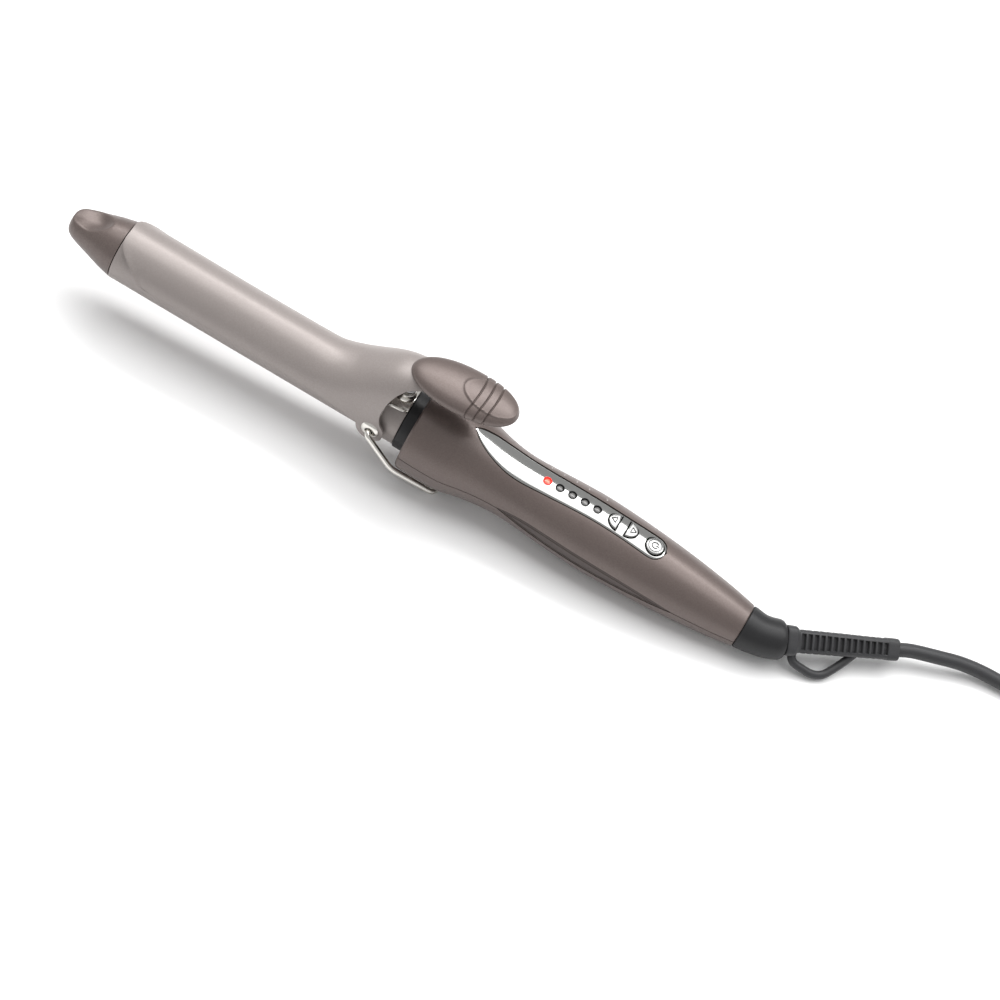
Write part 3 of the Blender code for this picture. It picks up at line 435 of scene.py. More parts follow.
# %% Plating, nickel and steel
def metal(name, colour, gloss, amount, scale=45.0, stretch=(1.0, 1.0, 1.0), lines=0.0):
    """A bare metal with a finger film, and with fine lines where the stock was drawn or turned."""
    material = bpy.data.materials.new(name)
    material.use_nodes = True
    tree = material.node_tree
    shader = tree.nodes["Principled BSDF"]
    shader.inputs["Metallic"].default_value = 1.0
    smudge = node(tree, "Group", (("Scale", scale), ("Amount", amount), ("Gloss", gloss)), node_tree=film)
    place = node(tree, "TexCoord").outputs["Object"]
    drawn_out = node(tree, "Mapping", (("Vector", place), ("Scale", stretch)))
    streaks = node(tree, "TexNoise", (("Vector", drawn_out.outputs[0]), ("Scale", 1200.0), ("Detail", 2.0)))
    tint = node(tree, "Mix", ((0, streaks.outputs["Fac"]), (6, (*colour, 1.0)),
                              (7, (*[value * 0.82 for value in colour], 1.0))), data_type="RGBA")
    bump = node(tree, "Bump", (("Height", streaks.outputs["Fac"]), ("Strength", lines), ("Distance", 0.0001)))
    tree.links.new(tint.outputs[2], shader.inputs["Base Color"])
    tree.links.new(smudge.outputs["Roughness"], shader.inputs["Roughness"])
    tree.links.new(bump.outputs["Normal"], shader.inputs["Normal"])
    return material


plating = metal("panel_plating", (0.46, 0.46, 0.45), 0.11, 0.04)
button_plating = metal("button_plating", (0.29, 0.29, 0.285), 0.20, 0.05)
nickel = metal("bright_nickel", (0.80, 0.775, 0.73), 0.16, 0.10, lines=0.05)
steel = metal("turned_steel", (0.56, 0.56, 0.56), 0.30, 0.12, stretch=(1.0, 1.0, 6.0), lines=0.2)
cast_aluminium = metal("cast_aluminium", (0.72, 0.72, 0.73), 0.42, 0.12, lines=0.35)
print("metals:", 5)

# %% [markdown]
# ### Black plastics and the cord
# The socket and the ring are satin nylon. The sleeve and the cord's jacket are soft PVC: greyer, duller, and
# with a slightly oily sheen where light grazes them.

# %% Black plastics, PVC and rubber
satin_black = grained(
    "satin_black", (0.016, 0.016, 0.017), (0.04, 0.04, 0.042), share=0.3, scale=1400.0, depth=0.12,
    gloss=0.42, spread=0.10, specular_ior_level=0.3,
)
soft_black = grained(
    "soft_pvc", (0.028, 0.028, 0.030), (0.055, 0.055, 0.058), share=0.35, scale=1100.0, depth=0.22,
    gloss=0.50, spread=0.12, specular_ior_level=0.4, sheen_weight=0.05,
)
print("finishes:", satin_black.name, soft_black.name)

# %% [markdown]
# ### Inside finishes
# The heater, the circuit board and the leads are hidden, but the model can be opened, so they get finishes.

# %% Inside finishes
ceramic = grained("white_ceramic", (0.80, 0.79, 0.75), (0.9, 0.89, 0.86), depth=0.2, gloss=0.55)
board_green = grained("board_green", (0.03, 0.16, 0.06), (0.08, 0.30, 0.13), scale=900.0, gloss=0.35)
red_lead = grained("red_lead", (0.50, 0.05, 0.04), (0.65, 0.12, 0.10), gloss=0.4)
blue_lead = grained("blue_lead", (0.05, 0.11, 0.45), (0.12, 0.2, 0.6), gloss=0.4)
white_ink = grained("pale_ink", (0.52, 0.50, 0.48), (0.6, 0.58, 0.56), gloss=0.5, depth=0.02)
dark_line = grained("dark_ink", (0.03, 0.03, 0.03), (0.06, 0.06, 0.06), gloss=0.4, depth=0.02)
print("inside finishes: 4, inks: 2")

# %% [markdown]
# ### The lamps
# Five small lenses count the heat. The lit one glows: its middle is bright red and its rim a deeper red,
# because the light behind it is a point. A ramp on the distance from the lens's middle gives both. The unlit
# ones are smoked, dark at the rim, and their greyer middle is a painted highlight from the same ramp.

# %% Lamp lenses
def lens_finish(name, middle, rim, glow):
    material = bpy.data.materials.new(name)
    material.use_nodes = True
    tree = material.node_tree
    shader = tree.nodes["Principled BSDF"]
    shader.inputs["Roughness"].default_value = 0.25
    shader.inputs["Coat Weight"].default_value = 0.2
    shader.inputs["Emission Strength"].default_value = glow
    place = node(tree, "TexCoord").outputs["Object"]
    flat = node(tree, "Mapping", (("Vector", place), ("Scale", (1.0, 1.0, 0.0))))
    length = node(tree, "VectorMath", ((0, flat.outputs[0]),), operation="LENGTH")
    ramp = node(
        tree, "MapRange",
        (("Value", length.outputs["Value"]), ("From Min", 0.0003), ("From Max", 0.0015)),
        interpolation_type="SMOOTHSTEP",
    )
    mix_inputs = ((0, ramp.outputs[0]), (6, (*middle, 1.0)), (7, (*rim, 1.0)))
    colour = node(tree, "Mix", mix_inputs, data_type="RGBA")
    tree.links.new(colour.outputs[2], shader.inputs["Base Color"])
    if glow:
        tree.links.new(colour.outputs[2], shader.inputs["Emission Color"])
    return material


lens_lit = lens_finish("lens_lit", (1.0, 0.16, 0.10), (0.75, 0.03, 0.02), 0.7)
# The grey middle of the unlit lenses is a painted highlight.
lens_dark = lens_finish("lens_dark", (0.16, 0.155, 0.15), (0.012, 0.012, 0.012), 0.0)
print("lenses: 2 finishes")

# %% [markdown]
# ## The cord
# A mains lead is about 1.8 m long. It leaves the swivelling sleeve, sinks to the table, and the rest is put
# away as a hank of flat loops beyond the picture, drawn in at the middle by a tie. The loops lie in two
# layers of three lanes. Each end of a loop is a half circle and each side swings in to the waist, so the
# cord is one smooth curve whose length stays true.

# %% The route along the table
CORD_R = 3.0
ELBOW_TURN = math.radians(29.8)
RELIEF_END = 56.5
heading = Vector((math.cos(ELBOW_TURN), math.sin(ELBOW_TURN), 0.0))
CORD_ROUTE = (
    (222.2, 35.7, 6.8), (230.0, 38.8, 5.8), (239.0, 41.1, 4.5), (249.0, 42.0, 3.6), (260.0, 42.1, 3.3),
    (274.0, 42.1, 3.3), (287.5, 42.1, 3.2), (298.0, 42.1, 3.15),
)
TAIL_ROUTE = (
    (403.0, 42.1, 9.3), (410.3, 42.1, 9.3), (416.0, 41.9, 9.0), (423.0, 40.8, 8.4), (430.0, 38.9, 7.9),
    (437.0, 36.9, 7.5), (443.0, 35.8, 7.3), (448.0, 35.5, 7.3), (456.0, 35.5, 7.3),
)


def smooth_route(points, spacing):
    """Points at about one spacing along a smooth curve through the route's own points."""
    points = [Vector(point) for point in points]
    line = []
    for number in range(len(points) - 1):
        start, end = points[number], points[number + 1]
        before = points[number - 1] if number else start * 2 - end
        after = points[number + 2] if number + 2 < len(points) else end * 2 - start
        pieces = max(1, round((end - start).length / spacing))
        for piece in range(pieces):
            t = piece / pieces
            line.append(0.5 * (
                2 * start + (end - before) * t + (2 * before - 5 * start + 4 * end - after) * t * t
                + (3 * start - before - 3 * end + after) * t**3
            ))
    return line + [points[-1]]


leaving_at = (RELIEF_END - 8.0, RELIEF_END, RELIEF_END + 7.0)
leaving = [(IRON @ (ELBOW + heading * distance)) / MM for distance in leaving_at]
way_out = smooth_route([*leaving, *CORD_ROUTE], 2.5)

# %% The loops of the hank
HANK_X, HANK_Y, HALF_RUN = 349.0, 12.1, 42.0
WAIST, TIE_HALF = 7.0, 4.5
LANES = ((30.0, 0), (24.0, 0), (18.0, 0), (18.0, 1), (24.0, 1), (30.0, 1))
LAYER_Z = (3.15, 9.3)


def on_run(x, lane, layer, side):
    """A point of one side of a loop, drawn in to the waist and lifted over the tie."""
    y = lane - WAIST - WAIST * math.cos(math.pi * x / HALF_RUN)
    lift = 1.15 * (1.0 - ease(abs(x), TIE_HALF + 1.0, TIE_HALF + 16.0))
    return Vector((HANK_X + x, HANK_Y + side * y, LAYER_Z[layer] + lift))


hank = []
for turn, ((lane, layer), (next_lane, next_layer)) in enumerate(zip(LANES, LANES[1:] + LANES[-1:])):
    last = turn == len(LANES) - 1
    hank += [on_run(x, lane, layer, 1) for x in steps(-HALF_RUN, HALF_RUN, 25)[:-1]]
    if last:
        break
    for angle in steps(0.0, math.pi, 21)[:-1]:
        hank.append(Vector((
            HANK_X + HALF_RUN + lane * math.sin(angle), HANK_Y + lane * math.cos(angle), LAYER_Z[layer])))
    hank += [on_run(x, lane, layer, -1) for x in steps(HALF_RUN, -HALF_RUN, 25)[:-1]]
    for angle in steps(0.0, math.pi, 21)[:-1]:
        share = angle / math.pi
        widen = ease(share, 0.0, 0.62) if next_lane >= lane else ease(share, 0.0, 1.0)
        radius = lane + (next_lane - lane) * widen
        z = LAYER_Z[layer] + (LAYER_Z[next_layer] - LAYER_Z[layer]) * ease(share, 0.4, 1.0)
        at_x, at_y = HANK_X - HALF_RUN - radius * math.sin(angle), HANK_Y - radius * math.cos(angle)
        hank.append(Vector((at_x, at_y, z)))
cord_line = way_out + hank + smooth_route([hank[-1], *TAIL_ROUTE[:]], 2.5)[1:]


# %% The jacket along the route
def round_wire(name, line, radius, look, body, stands_for=(), place=IRON, resolution=6, as_mesh=False):
    """A wire or cord: a curve through a line of points with a round section, or the mesh of one."""
    curve = bpy.data.curves.new(name, "CURVE")
    curve.dimensions = "3D"
    curve.bevel_depth, curve.bevel_resolution = radius * MM, resolution
    curve.use_fill_caps = True
    spline = curve.splines.new("POLY")
    spline.points.add(len(line) - 1)
    for target, point in zip(spline.points, line):
        target.co = (*(place @ Vector(point)), 1.0)
    item = bpy.data.objects.new(name, curve)
    bpy.context.scene.collection.objects.link(item)
    curve.splines[0].use_smooth = True
    if as_mesh:
        mesh = bpy.data.meshes.new_from_object(item.evaluated_get(bpy.context.evaluated_depsgraph_get()))
        bpy.data.objects.remove(item, do_unlink=True)
        item = bpy.data.objects.new(name, mesh)
        bpy.context.scene.collection.objects.link(item)
    return finish_piece(item, look, body, stands_for)


cord_piece = round_wire(
    "mains_lead", cord_line, CORD_R, soft_black, "iron",
    ("cord", "cord_hank", "cord_tail"), TABLE)
print("piece:", cord_piece.name)

# %% [markdown]
# ### The tie
# A strap holds the hank at its waist. It passes under the bottom layer, up both sides and over the top, with
# soft corners.

# %% The tie round the waist
def strap_section(half_wide, low, high, corner, count=8):
    """A rounded rectangle in Y and Z, as a closed line of points."""
    line = []
    for quarter, (y, z) in enumerate((
        (half_wide - corner, high - corner), (-half_wide + corner, high - corner),
        (-half_wide + corner, low + corner), (half_wide - corner, low + corner),
    )):
        for angle in steps(quarter * math.pi / 2, (quarter + 1) * math.pi / 2, count):
            line.append((y + corner * math.cos(angle), z + corner * math.sin(angle)))
    return line


TIE_THICKNESS = 0.9
waist_half = LANES[0][0] - 2 * WAIST + CORD_R + 0.4
tie_rows = []
for x, inset in ((-TIE_HALF, 0.25), (-TIE_HALF + 0.3, 0.0), (TIE_HALF - 0.3, 0.0), (TIE_HALF, 0.25)):
    outer = strap_section(waist_half + TIE_THICKNESS - inset, 0.15 + inset, 14.7 - inset, 3.6 - inset)
    tie_rows.append([(x, y, z) for y, z in outer])
inner = strap_section(waist_half, 1.05, 13.8, 2.7)
tie_rows += [[(x, y, z) for y, z in inner] for x in (TIE_HALF, -TIE_HALF)]
tie = as_object("hank_strap", moved(skin(tie_rows + tie_rows[:1], True), (HANK_X, HANK_Y, 0.0)), TABLE)
finish_piece(tie, satin_black, "iron", ("hank_tie",))
print("piece:", tie.name)

# %% [markdown]
# ### The plug
# A flat two-pin plug is lofted from the cord to the pin face: a ribbed neck, a narrow waist to pull it by,
# and a wide flat front. The pins have black sleeves near the body and bare rounded tips.

# %% The plug body
PLUG_AT = Vector((448.3, 35.5, 7.3))
PLUG_SHAPE = (  # distance, half width, half thickness
    (0.0, 4.2, 4.0), (1.0, 4.8, 4.6), (11.0, 6.0, 5.0), (14.0, 7.2, 5.2), (19.0, 11.6, 5.9), (24.0, 14.2, 6.6),
    (30.0, 14.9, 6.9), (33.4, 14.9, 6.9), (34.0, 14.4, 6.4),
)
wide_curve = tuple((distance, wide) for distance, wide, thick in PLUG_SHAPE)
thick_curve = tuple((distance, thick) for distance, wide, thick in PLUG_SHAPE)
plug_rings = []
for distance in steps(0.0, 34.0, 137):
    rib = 0.55 * ease(math.sin(math.tau * distance / 2.4), 0.0, 0.8) * (1.0 - ease(distance, 10.0, 11.0))
    wide, thick = read_curve(wide_curve, distance) - rib, read_curve(thick_curve, distance) - rib
    ring = []
    for angle in steps(0.0, math.tau, 65)[:-1]:
        c, s = math.cos(angle), math.sin(angle)
        square = 2.0 + 2.5 * ease(distance, 8.0, 24.0)
        ring.append((
            distance, wide * math.copysign(abs(c) ** (2 / square), c),
            thick * math.copysign(abs(s) ** (2 / square), s)))
    plug_rings.append(ring)
plug = as_object("plug_moulding", moved(skin(plug_rings, True, True), PLUG_AT), TABLE)
finish_piece(plug, soft_black, "iron", ("plug_body",))
print("piece:", plug.name)

# %% The plug's pins
pin_profile = (
    (0.0, 0.0), (0.0, 2.0), (9.6, 2.0), (9.9, 1.85), (17.2, 1.85), (18.3, 1.5), (18.9, 0.9), (19.0, 0.0),
)
sleeve_profile = ((0.1, 1.9), (0.1, 2.12), (9.4, 2.12), (9.7, 1.95), (9.7, 1.9))
plug_parts = [plug]
for number, side in enumerate((-1, 1), 1):
    pin_at = PLUG_AT + Vector((34.3, side * 9.3, 0.0))
    pin = as_object(f"plug_pin_{number}_metal", moved(turned(pin_profile, sides=40), pin_at), TABLE)
    finish_piece(pin, steel, "iron", (f"plug_pin_{number}",))
    jacket_drawing = moved(turned(sleeve_profile, sides=40, closed=True), pin_at)
    jacket = as_object(f"plug_pin_{number}_sleeve", jacket_drawing, TABLE)
    finish_piece(jacket, satin_black, "iron")
    plug_parts += [pin, jacket]
print("pieces:", [item.name for item in plug_parts])

# %% [markdown]
# ## The swivelling sleeve
# The sleeve keeps the cord from breaking where it leaves the handle. It is a soft square tube with four rows
# of slots, so it bends evenly, with a solid collar at each end and a moulded loop to hang the iron by. The
# slots are pressed into the skin of a fine grid, which keeps the soft corners that a rubber mould leaves.

# %% The sleeve's own axes
LOOP_TILT = math.radians(31.3)
level = Vector((math.sin(ELBOW_TURN), -math.cos(ELBOW_TURN), 0.0))
outward = level * math.cos(LOOP_TILT) - Vector((0.0, 0.0, 1.0)) * math.sin(LOOP_TILT)
sleeve_axes = Matrix((heading, outward, heading.cross(outward))).transposed().to_4x4()
SLEEVE = IRON @ Matrix.Translation(ELBOW) @ sleeve_axes
SLOT_FIRST, SLOT_PITCH, SLOT_COUNT = 15.3, 2.72, 14
SLEEVE_HALF = (
    (3.2, 5.2), (7.8, 5.2), (8.2, 5.9), (8.7, 6.15), (12.0, 6.05), (12.7, 5.7), (13.4, 4.95), (14.0, 4.8),
    (30.0, 4.65), (51.6, 4.35), (52.2, 4.55), (56.0, 4.5), (56.5, 4.2),
)


def slot_depth(distance, across):
    """How deep the skin is pressed in at a place along the sleeve and across one face."""
    number = min(max(round((distance - SLOT_FIRST) / SLOT_PITCH), 0), SLOT_COUNT - 1)
    from_middle = abs(distance - SLOT_FIRST - number * SLOT_PITCH)
    reach = 3.35 - 0.95 * (distance - SLOT_FIRST) / (SLOT_PITCH * SLOT_COUNT)
    return 1.5 * (1.0 - ease(from_middle, 0.72, 0.95)) * (1.0 - ease(abs(across), reach - 0.28, reach))


sleeve_rings = []
stations = [3.2, 5.0, 7.8, 8.0, 8.2, 8.4, 8.7, 9.5, 11.0, 12.0, 12.3, 12.7, 13.0, 13.4, 13.7]
stations += steps(14.0, 52.0, 300) + [52.1, 52.3, 53.0, 55.0, 55.7, 56.0, 56.3, 56.5]
for distance in stations:
    half = read_curve(SLEEVE_HALF, distance)
    power = 4.5 if distance > 8.1 else 2.0
    ring = []
    for angle in steps(0.0, math.tau, 161)[:-1]:
        c, s = math.cos(angle), math.sin(angle)
        size = half / (abs(c) ** power + abs(s) ** power) ** (1 / power)
        y, z = size * c, size * s
        if 13.7 < distance < 52.2:
            depth = slot_depth(distance, z if abs(c) > abs(s) else y)
            if abs(c) > abs(s):
                y -= math.copysign(depth, c)
            else:
                z -= math.copysign(depth, s)
        ring.append((distance, y, z))
    sleeve_rings.append(ring)
end_bore = [(distance, 3.15 * math.cos(a), 3.15 * math.sin(a)) for distance in (56.5,)
            for a in steps(0.0, math.tau, 161)[:-1]]
sleeve_rings += [end_bore, [(53.5, y, z) for distance, y, z in end_bore]]
sleeve = as_object("cord_sleeve", skin(sleeve_rings, True, True), SLEEVE)
finish_piece(sleeve, soft_black, "swivel", ("strain_relief",), sharp=50.0)
print("slots:", 4 * SLOT_COUNT)

# %% The hanging loop moulded on the sleeve
LOOP_ROUTE = (
    (12.0, 3.5), (13.0, 8.2), (17.5, 11.0), (21.7, 12.7), (25.9, 12.6), (29.8, 10.4), (34.5, 6.9), (39.0, 3.0),
)
loop_line = smooth_route([(distance, out, 0.0) for distance, out in LOOP_ROUTE], 0.6)
loop = round_wire(
    "hanging_loop", loop_line, 1.75, soft_black, "swivel", place=SLEEVE, resolution=8)

# %% [markdown]
# ## The socket
# The black end of the handle turns the cord away by about thirty degrees. Its centre line is a short smooth
# bend, and its skin is drawn in a little at the middle, as on a bottle's neck. Inside, it is hollow so that
# the sleeve can turn in it.

# %% The bent socket
def bend(distance):
    """The middle of the socket and its turn, at a distance from the elbow along the line."""
    reach = 6.5
    if distance <= -reach:
        return ELBOW + Vector((distance, 0.0, 0.0)), 0.0
    if distance >= reach:
        return ELBOW + heading * distance, ELBOW_TURN
    t = (distance + reach) / (2 * reach)
    start, end = ELBOW - Vector((reach, 0.0, 0.0)), ELBOW + heading * reach
    return start * (1 - t) ** 2 + ELBOW * 2 * t * (1 - t) + end * t * t, ELBOW_TURN * ease(t, -0.12, 1.12)


SOCKET_SKIN = (
    (-9.4, 9.05), (-9.0, 9.25), (-6.0, 8.95), (-2.5, 8.55), (0.0, 8.45), (3.0, 8.4), (5.5, 8.3), (7.0, 7.9),
    (7.5, 7.5), (7.7, 7.0),
)
socket_profile = [(-17.0, 3.7), (-17.0, 7.6), (-12.6, 7.6), (-12.6, 7.1), (-9.4, 7.1)]
socket_profile += [(distance, read_curve(SOCKET_SKIN, distance)) for distance in steps(-9.4, 7.7, 70)]
socket_profile += [(7.7, 5.7), (2.6, 5.7), (2.6, 3.7), (0.0, 3.7), (-17.0, 3.7)]
socket_rings = []
for distance, radius in socket_profile:
    middle, turn = bend(distance)
    sideways = Vector((-math.sin(turn), math.cos(turn), 0.0))
    socket_rings.append([
        middle + sideways * radius * math.cos(a) + Vector((0.0, 0.0, radius * math.sin(a)))
        for a in steps(0.0, math.tau, 97)[:-1]
    ])
socket = as_object("cord_socket", skin(socket_rings, True))
finish_piece(socket, satin_black, "iron", ("end_cap",))
print("piece:", socket.name)

# %% [markdown]
# ## The handle
# The handle is two shells that meet on a parting line along the sides. Their section is round, but the radius
# and the centre line change all the way: wide where it meets the barrel, narrow for the first finger, full in
# the palm and narrow again at the cord. Each shell has real wall thickness, a thin chamfer at the front rim,
# and openings for the control panel and the side leaves.

# %% Radius and centre line of the handle
HANDLE_RADIUS = (
    (161.2, 19.2), (170.0, 19.4), (180.0, 18.9), (189.0, 16.6), (198.0, 14.8), (207.0, 14.05), (217.0, 14.4),
    (230.0, 15.2), (243.0, 15.6), (263.0, 14.9), (283.0, 13.4), (303.0, 11.0), (313.3, 9.2),
)
HANDLE_CENTRE = ((161.2, -0.5), (180.0, -1.0), (207.0, -3.0), (243.0, -4.1), (283.0, -5.4), (313.3, -6.5))
HANDLE_WALL, PARTING_GAP, FRONT_OPENING_R = 2.0, 0.34, 13.0


def handle_radius(x):
    return read_curve(HANDLE_RADIUS, x)


def handle_centre(x):
    return read_curve(HANDLE_CENTRE, x)


def handle_top(x, y=0.0):
    """Height of the handle's upper surface."""
    return handle_centre(x) + math.sqrt(handle_radius(x) ** 2 - y**2)


def on_table(point):
    """A point no lower than the table: the belly has a small flat where it rests."""
    low = (IRON @ Vector(point)).z
    return point if low >= 0.0 else (point[0], point[1], point[2] - low / (MM * math.cos(PITCH)))


print("handle length:", HANDLE_RADIUS[-1][0] - HANDLE_RADIUS[0][0], "mm")


# %% Half of the handle as a walled shell
def half_shell(upper):
    first, last = HANDLE_RADIUS[0][0], HANDLE_RADIUS[-1][0]
    rim = handle_radius(first)
    sections = [(first, rim - 0.75, FRONT_OPENING_R), (first + 0.75, rim, FRONT_OPENING_R)]
    sections += [(x, handle_radius(x), FRONT_OPENING_R) for x in (first + 1.5, first + 2.3)]
    between = steps(first + 2.31, last - 1.5, 190)
    sections += [(x, handle_radius(x), handle_radius(x) - HANDLE_WALL) for x in between]
    sections += [(last - 1.4, handle_radius(last - 1.4), 7.6), (last - 0.4, handle_radius(last - 0.4), 7.6)]
    sections += [(last, handle_radius(last) - 0.35, 7.6)]
    rows = []
    for x, outer, inner in sections:
        row = []
        for radius, angles in ((outer, steps(0.0, math.pi, 91)), (inner, steps(math.pi, 0.0, 91))):
            for angle in angles:
                z = radius * math.sin(angle) + PARTING_GAP / 2
                point = (x, radius * math.cos(angle), handle_centre(x) + (z if upper else -z))
                row.append(on_table(point) if radius == outer else point)
        rows.append(row)
    bm = bmesh.new()
    grid = [[bm.verts.new(point) for point in row] for row in rows]
    count = len(grid[0])
    for row, following in zip(grid, grid[1:]):
        for number in range(count):
            after = (number + 1) % count
            bm.faces.new((row[number], row[after], following[after], following[number]))
    for row in (grid[0], grid[-1]):
        for number in range(count // 2 - 1):
            bm.faces.new((row[number], row[number + 1], row[count - 2 - number], row[count - 1 - number]))
    return bm


upper_shell = as_object("handle_top_shell", half_shell(True))
lower_shell = as_object("handle_bottom_shell", half_shell(False))
print("shell faces:", len(upper_shell.data.polygons))

# %% Outlines of the panel, the leaf and the buttons
PANEL_HALF_WIDTH = (
    (182.6, 0.35), (184.5, 1.7), (188.0, 3.4), (193.0, 4.9), (203.0, 6.1), (220.0, 5.6), (238.0, 5.0),
    (252.0, 4.9), (262.0, 5.15), (266.9, 5.2), (269.5, 4.5), (271.4, 2.6), (272.0, 0.5),
)
LEAF_REACH = (
    (205.7, 0.02), (210.0, 0.09), (218.0, 0.17), (232.0, 0.2), (246.0, 0.2), (262.0, 0.17), (276.0, 0.1),
    (285.2, 0.02),
)


def panel_half(x):
    return read_curve(PANEL_HALF_WIDTH, x)


def panel_outline(grow):
    """The (x, y) outline of the control panel, grown by a margin."""
    first, last = PANEL_HALF_WIDTH[0][0], PANEL_HALF_WIDTH[-1][0]
    xs = steps(first, first + 6, 16)[:-1] + steps(first + 6, last - 4, 60)[:-1] + steps(last - 4, last, 24)
    near = [(x, -panel_half(x) - grow * ease(x, first - 1, first + 3)) for x in xs]
    near = [(first - grow, 0.0)] + near + [(last + grow, 0.0)]
    return near + [(x, -y) for x, y in reversed(near[1:-1])]


def leaf_outline(grow):
    """The (x, z) outline of the side leaf seen from the side."""
    first, last = LEAF_REACH[0][0], LEAF_REACH[-1][0]
    upper, lower = [], []
    for x in steps(first - grow, last + grow, 70):
        reach = handle_radius(x) * math.sin(read_curve(LEAF_REACH, x)) + grow
        upper.append((x, handle_centre(x) + reach))
        lower.append((x, handle_centre(x) - reach))
    return upper + lower[::-1]


print("panel length:", PANEL_HALF_WIDTH[-1][0] - PANEL_HALF_WIDTH[0][0], "mm")

# %% Cut the openings and the screw wells
SCREW_X = (172.0, 288.0)
windows = []
for side in (-1, 1):
    window = skin([[(x, side * 4.0, z) for x, z in leaf_outline(0.12)],
                   [(x, side * 24.0, z) for x, z in leaf_outline(0.12)]], True, True)
    windows.append(window)
cut(upper_shell, [prism(panel_outline(0.5), 0.0, 30.0), *[window.copy() for window in windows]])
well_profile = [(-30.0, 0.0), (-30.0, 2.7), (-6.0, 2.7), (-6.0, 0.0)]
wells = [moved(turned(well_profile, "Z", 40), (x, 0.0, handle_centre(x))) for x in SCREW_X]
cut(lower_shell, [*windows, *wells])
finish_piece(upper_shell, pearl, "iron", ("handle_upper_shell",), sharp=30.0)
finish_piece(lower_shell, pearl, "iron", ("handle_lower_shell",), sharp=30.0)
print("shell faces after cutting:", len(upper_shell.data.polygons), len(lower_shell.data.polygons))

# %% [markdown]
# The screws that hold the shells sit at the bottom of deep wells. A well is a small cup inside the lower
# shell: the screw's head rests on its floor.

# %% Screw wells and cross-head screws
def cross_recess(x, y, z, wide, deep):
    """Two crossed bars that cut a driver's cross into a screw head which faces down."""
    bars = []
    for long, short in ((wide, 0.28), (0.28, wide)):
        outline = [(long, short), (-long, short), (-long, -short), (long, -short)]
        bars.append(moved(prism(outline, -0.5, deep), (x, y, z)))
    return bars


for number, x in enumerate(SCREW_X, 1):
    centre = handle_centre(x)
    floor, head = centre - math.sqrt(handle_radius(x) ** 2 - 2.7**2) + 0.4, centre - 6.2
    cup = [
        (floor, 2.72), (head + 1.75, 2.72), (head + 1.75, 1.6),
        (centre - 0.2, 1.6), (centre - 0.2, 3.6), (floor, 3.6),
    ]
    well = as_object(f"screw_well_{number}", moved(turned(cup, "Z", 48, closed=True), (x, 0.0, 0.0)))
    finish_piece(well, pearl, "iron")
    profile = [
        (head, 0.0), (head, 1.9), (head + 0.25, 2.25), (head + 1.4, 2.3), (head + 1.4, 1.2),
        (centre + 6.0, 1.2),
        (centre + 6.4, 0.9), (centre + 6.5, 0.0),
    ]
    screw = as_object(f"case_screw_{number}", moved(turned(profile, "Z", 40), (x, 0.0, 0.0)))
    cut(screw, cross_recess(x, 0.0, head, 1.3, 0.8), "EXACT")
    finish_piece(screw, steel, "iron", (f"handle_screw_{number}",), sharp=30.0)
print("wells and screws:", len(SCREW_X))

# %% [markdown]
# ## The side leaves
# A leaf in a darker brown fills the parting line on each side; the darker brown is painted shade. It has a
# fine step a little inside its edge, which catches the light as a second line.

# %% Side leaves
def side_leaf(side):
    first, last = LEAF_REACH[0][0], LEAF_REACH[-1][0]
    rows = []
    for x in steps(first, last, 150):
        radius, reach = handle_radius(x), read_curve(LEAF_REACH, x)
        outer, inner = [], []
        for t in steps(-1.0, 1.0, 61):
            from_edge = (1.0 - abs(t)) * reach * radius
            drop = 0.10 + 0.25 * (1.0 - ease(from_edge, 0.0, 0.35)) + 0.22 * (
                ease(from_edge, 0.75, 0.95) * (1.0 - ease(from_edge, 1.1, 1.5)))
            for line, depth in ((outer, drop), (inner, 1.5)):
                r = radius - depth
                line.append((x, side * r * math.cos(t * reach), handle_centre(x) + r * math.sin(t * reach)))
        rows.append(outer + inner[::-1])
    return skin(rows, True, True)


for name, side in (("side_inlay_left", -1), ("side_inlay_right", 1)):
    leaf = as_object(name.replace("inlay", "leaf"), side_leaf(side))
    finish_piece(leaf, inlay_pearl_painted_shade, "iron", (name,))
print("leaves: 2")

# %% [markdown]
# ## The control panel
# A long plated plate lies along the top, crowned like the handle under it and pointed at the front. Its edge
# is rounded over, and there is a dark gap all round it. Its holes let the lamps and the buttons through.

# %% The plated panel
LED_X = tuple(217.3 + 5.68 * number for number in range(5))
BUTTON_X = {"button_down": 247.8, "button_up": 256.4, "button_power": 266.9}
BUTTON_SIZE, POWER_R = (4.4, 7.4), 3.8


def button_outline(name, grow=0.0, count=40):
    """The (x, y) outline of a button about its own middle: two mirrored D shapes and a round one."""
    if name == "button_power":
        radius = POWER_R + grow
        return [(radius * math.cos(a), radius * math.sin(a)) for a in steps(0, math.tau, 81)[:-1]]
    length, width = BUTTON_SIZE
    side = -1 if name == "button_down" else 1
    flat = -side * (length / 2 + grow)
    points = [
        (flat + side * (length + 2 * grow) * math.cos(a), (width / 2 + grow) * math.sin(a))
        for a in steps(-math.pi / 2, math.pi / 2, count)
    ]
    return points if side > 0 else points[::-1]


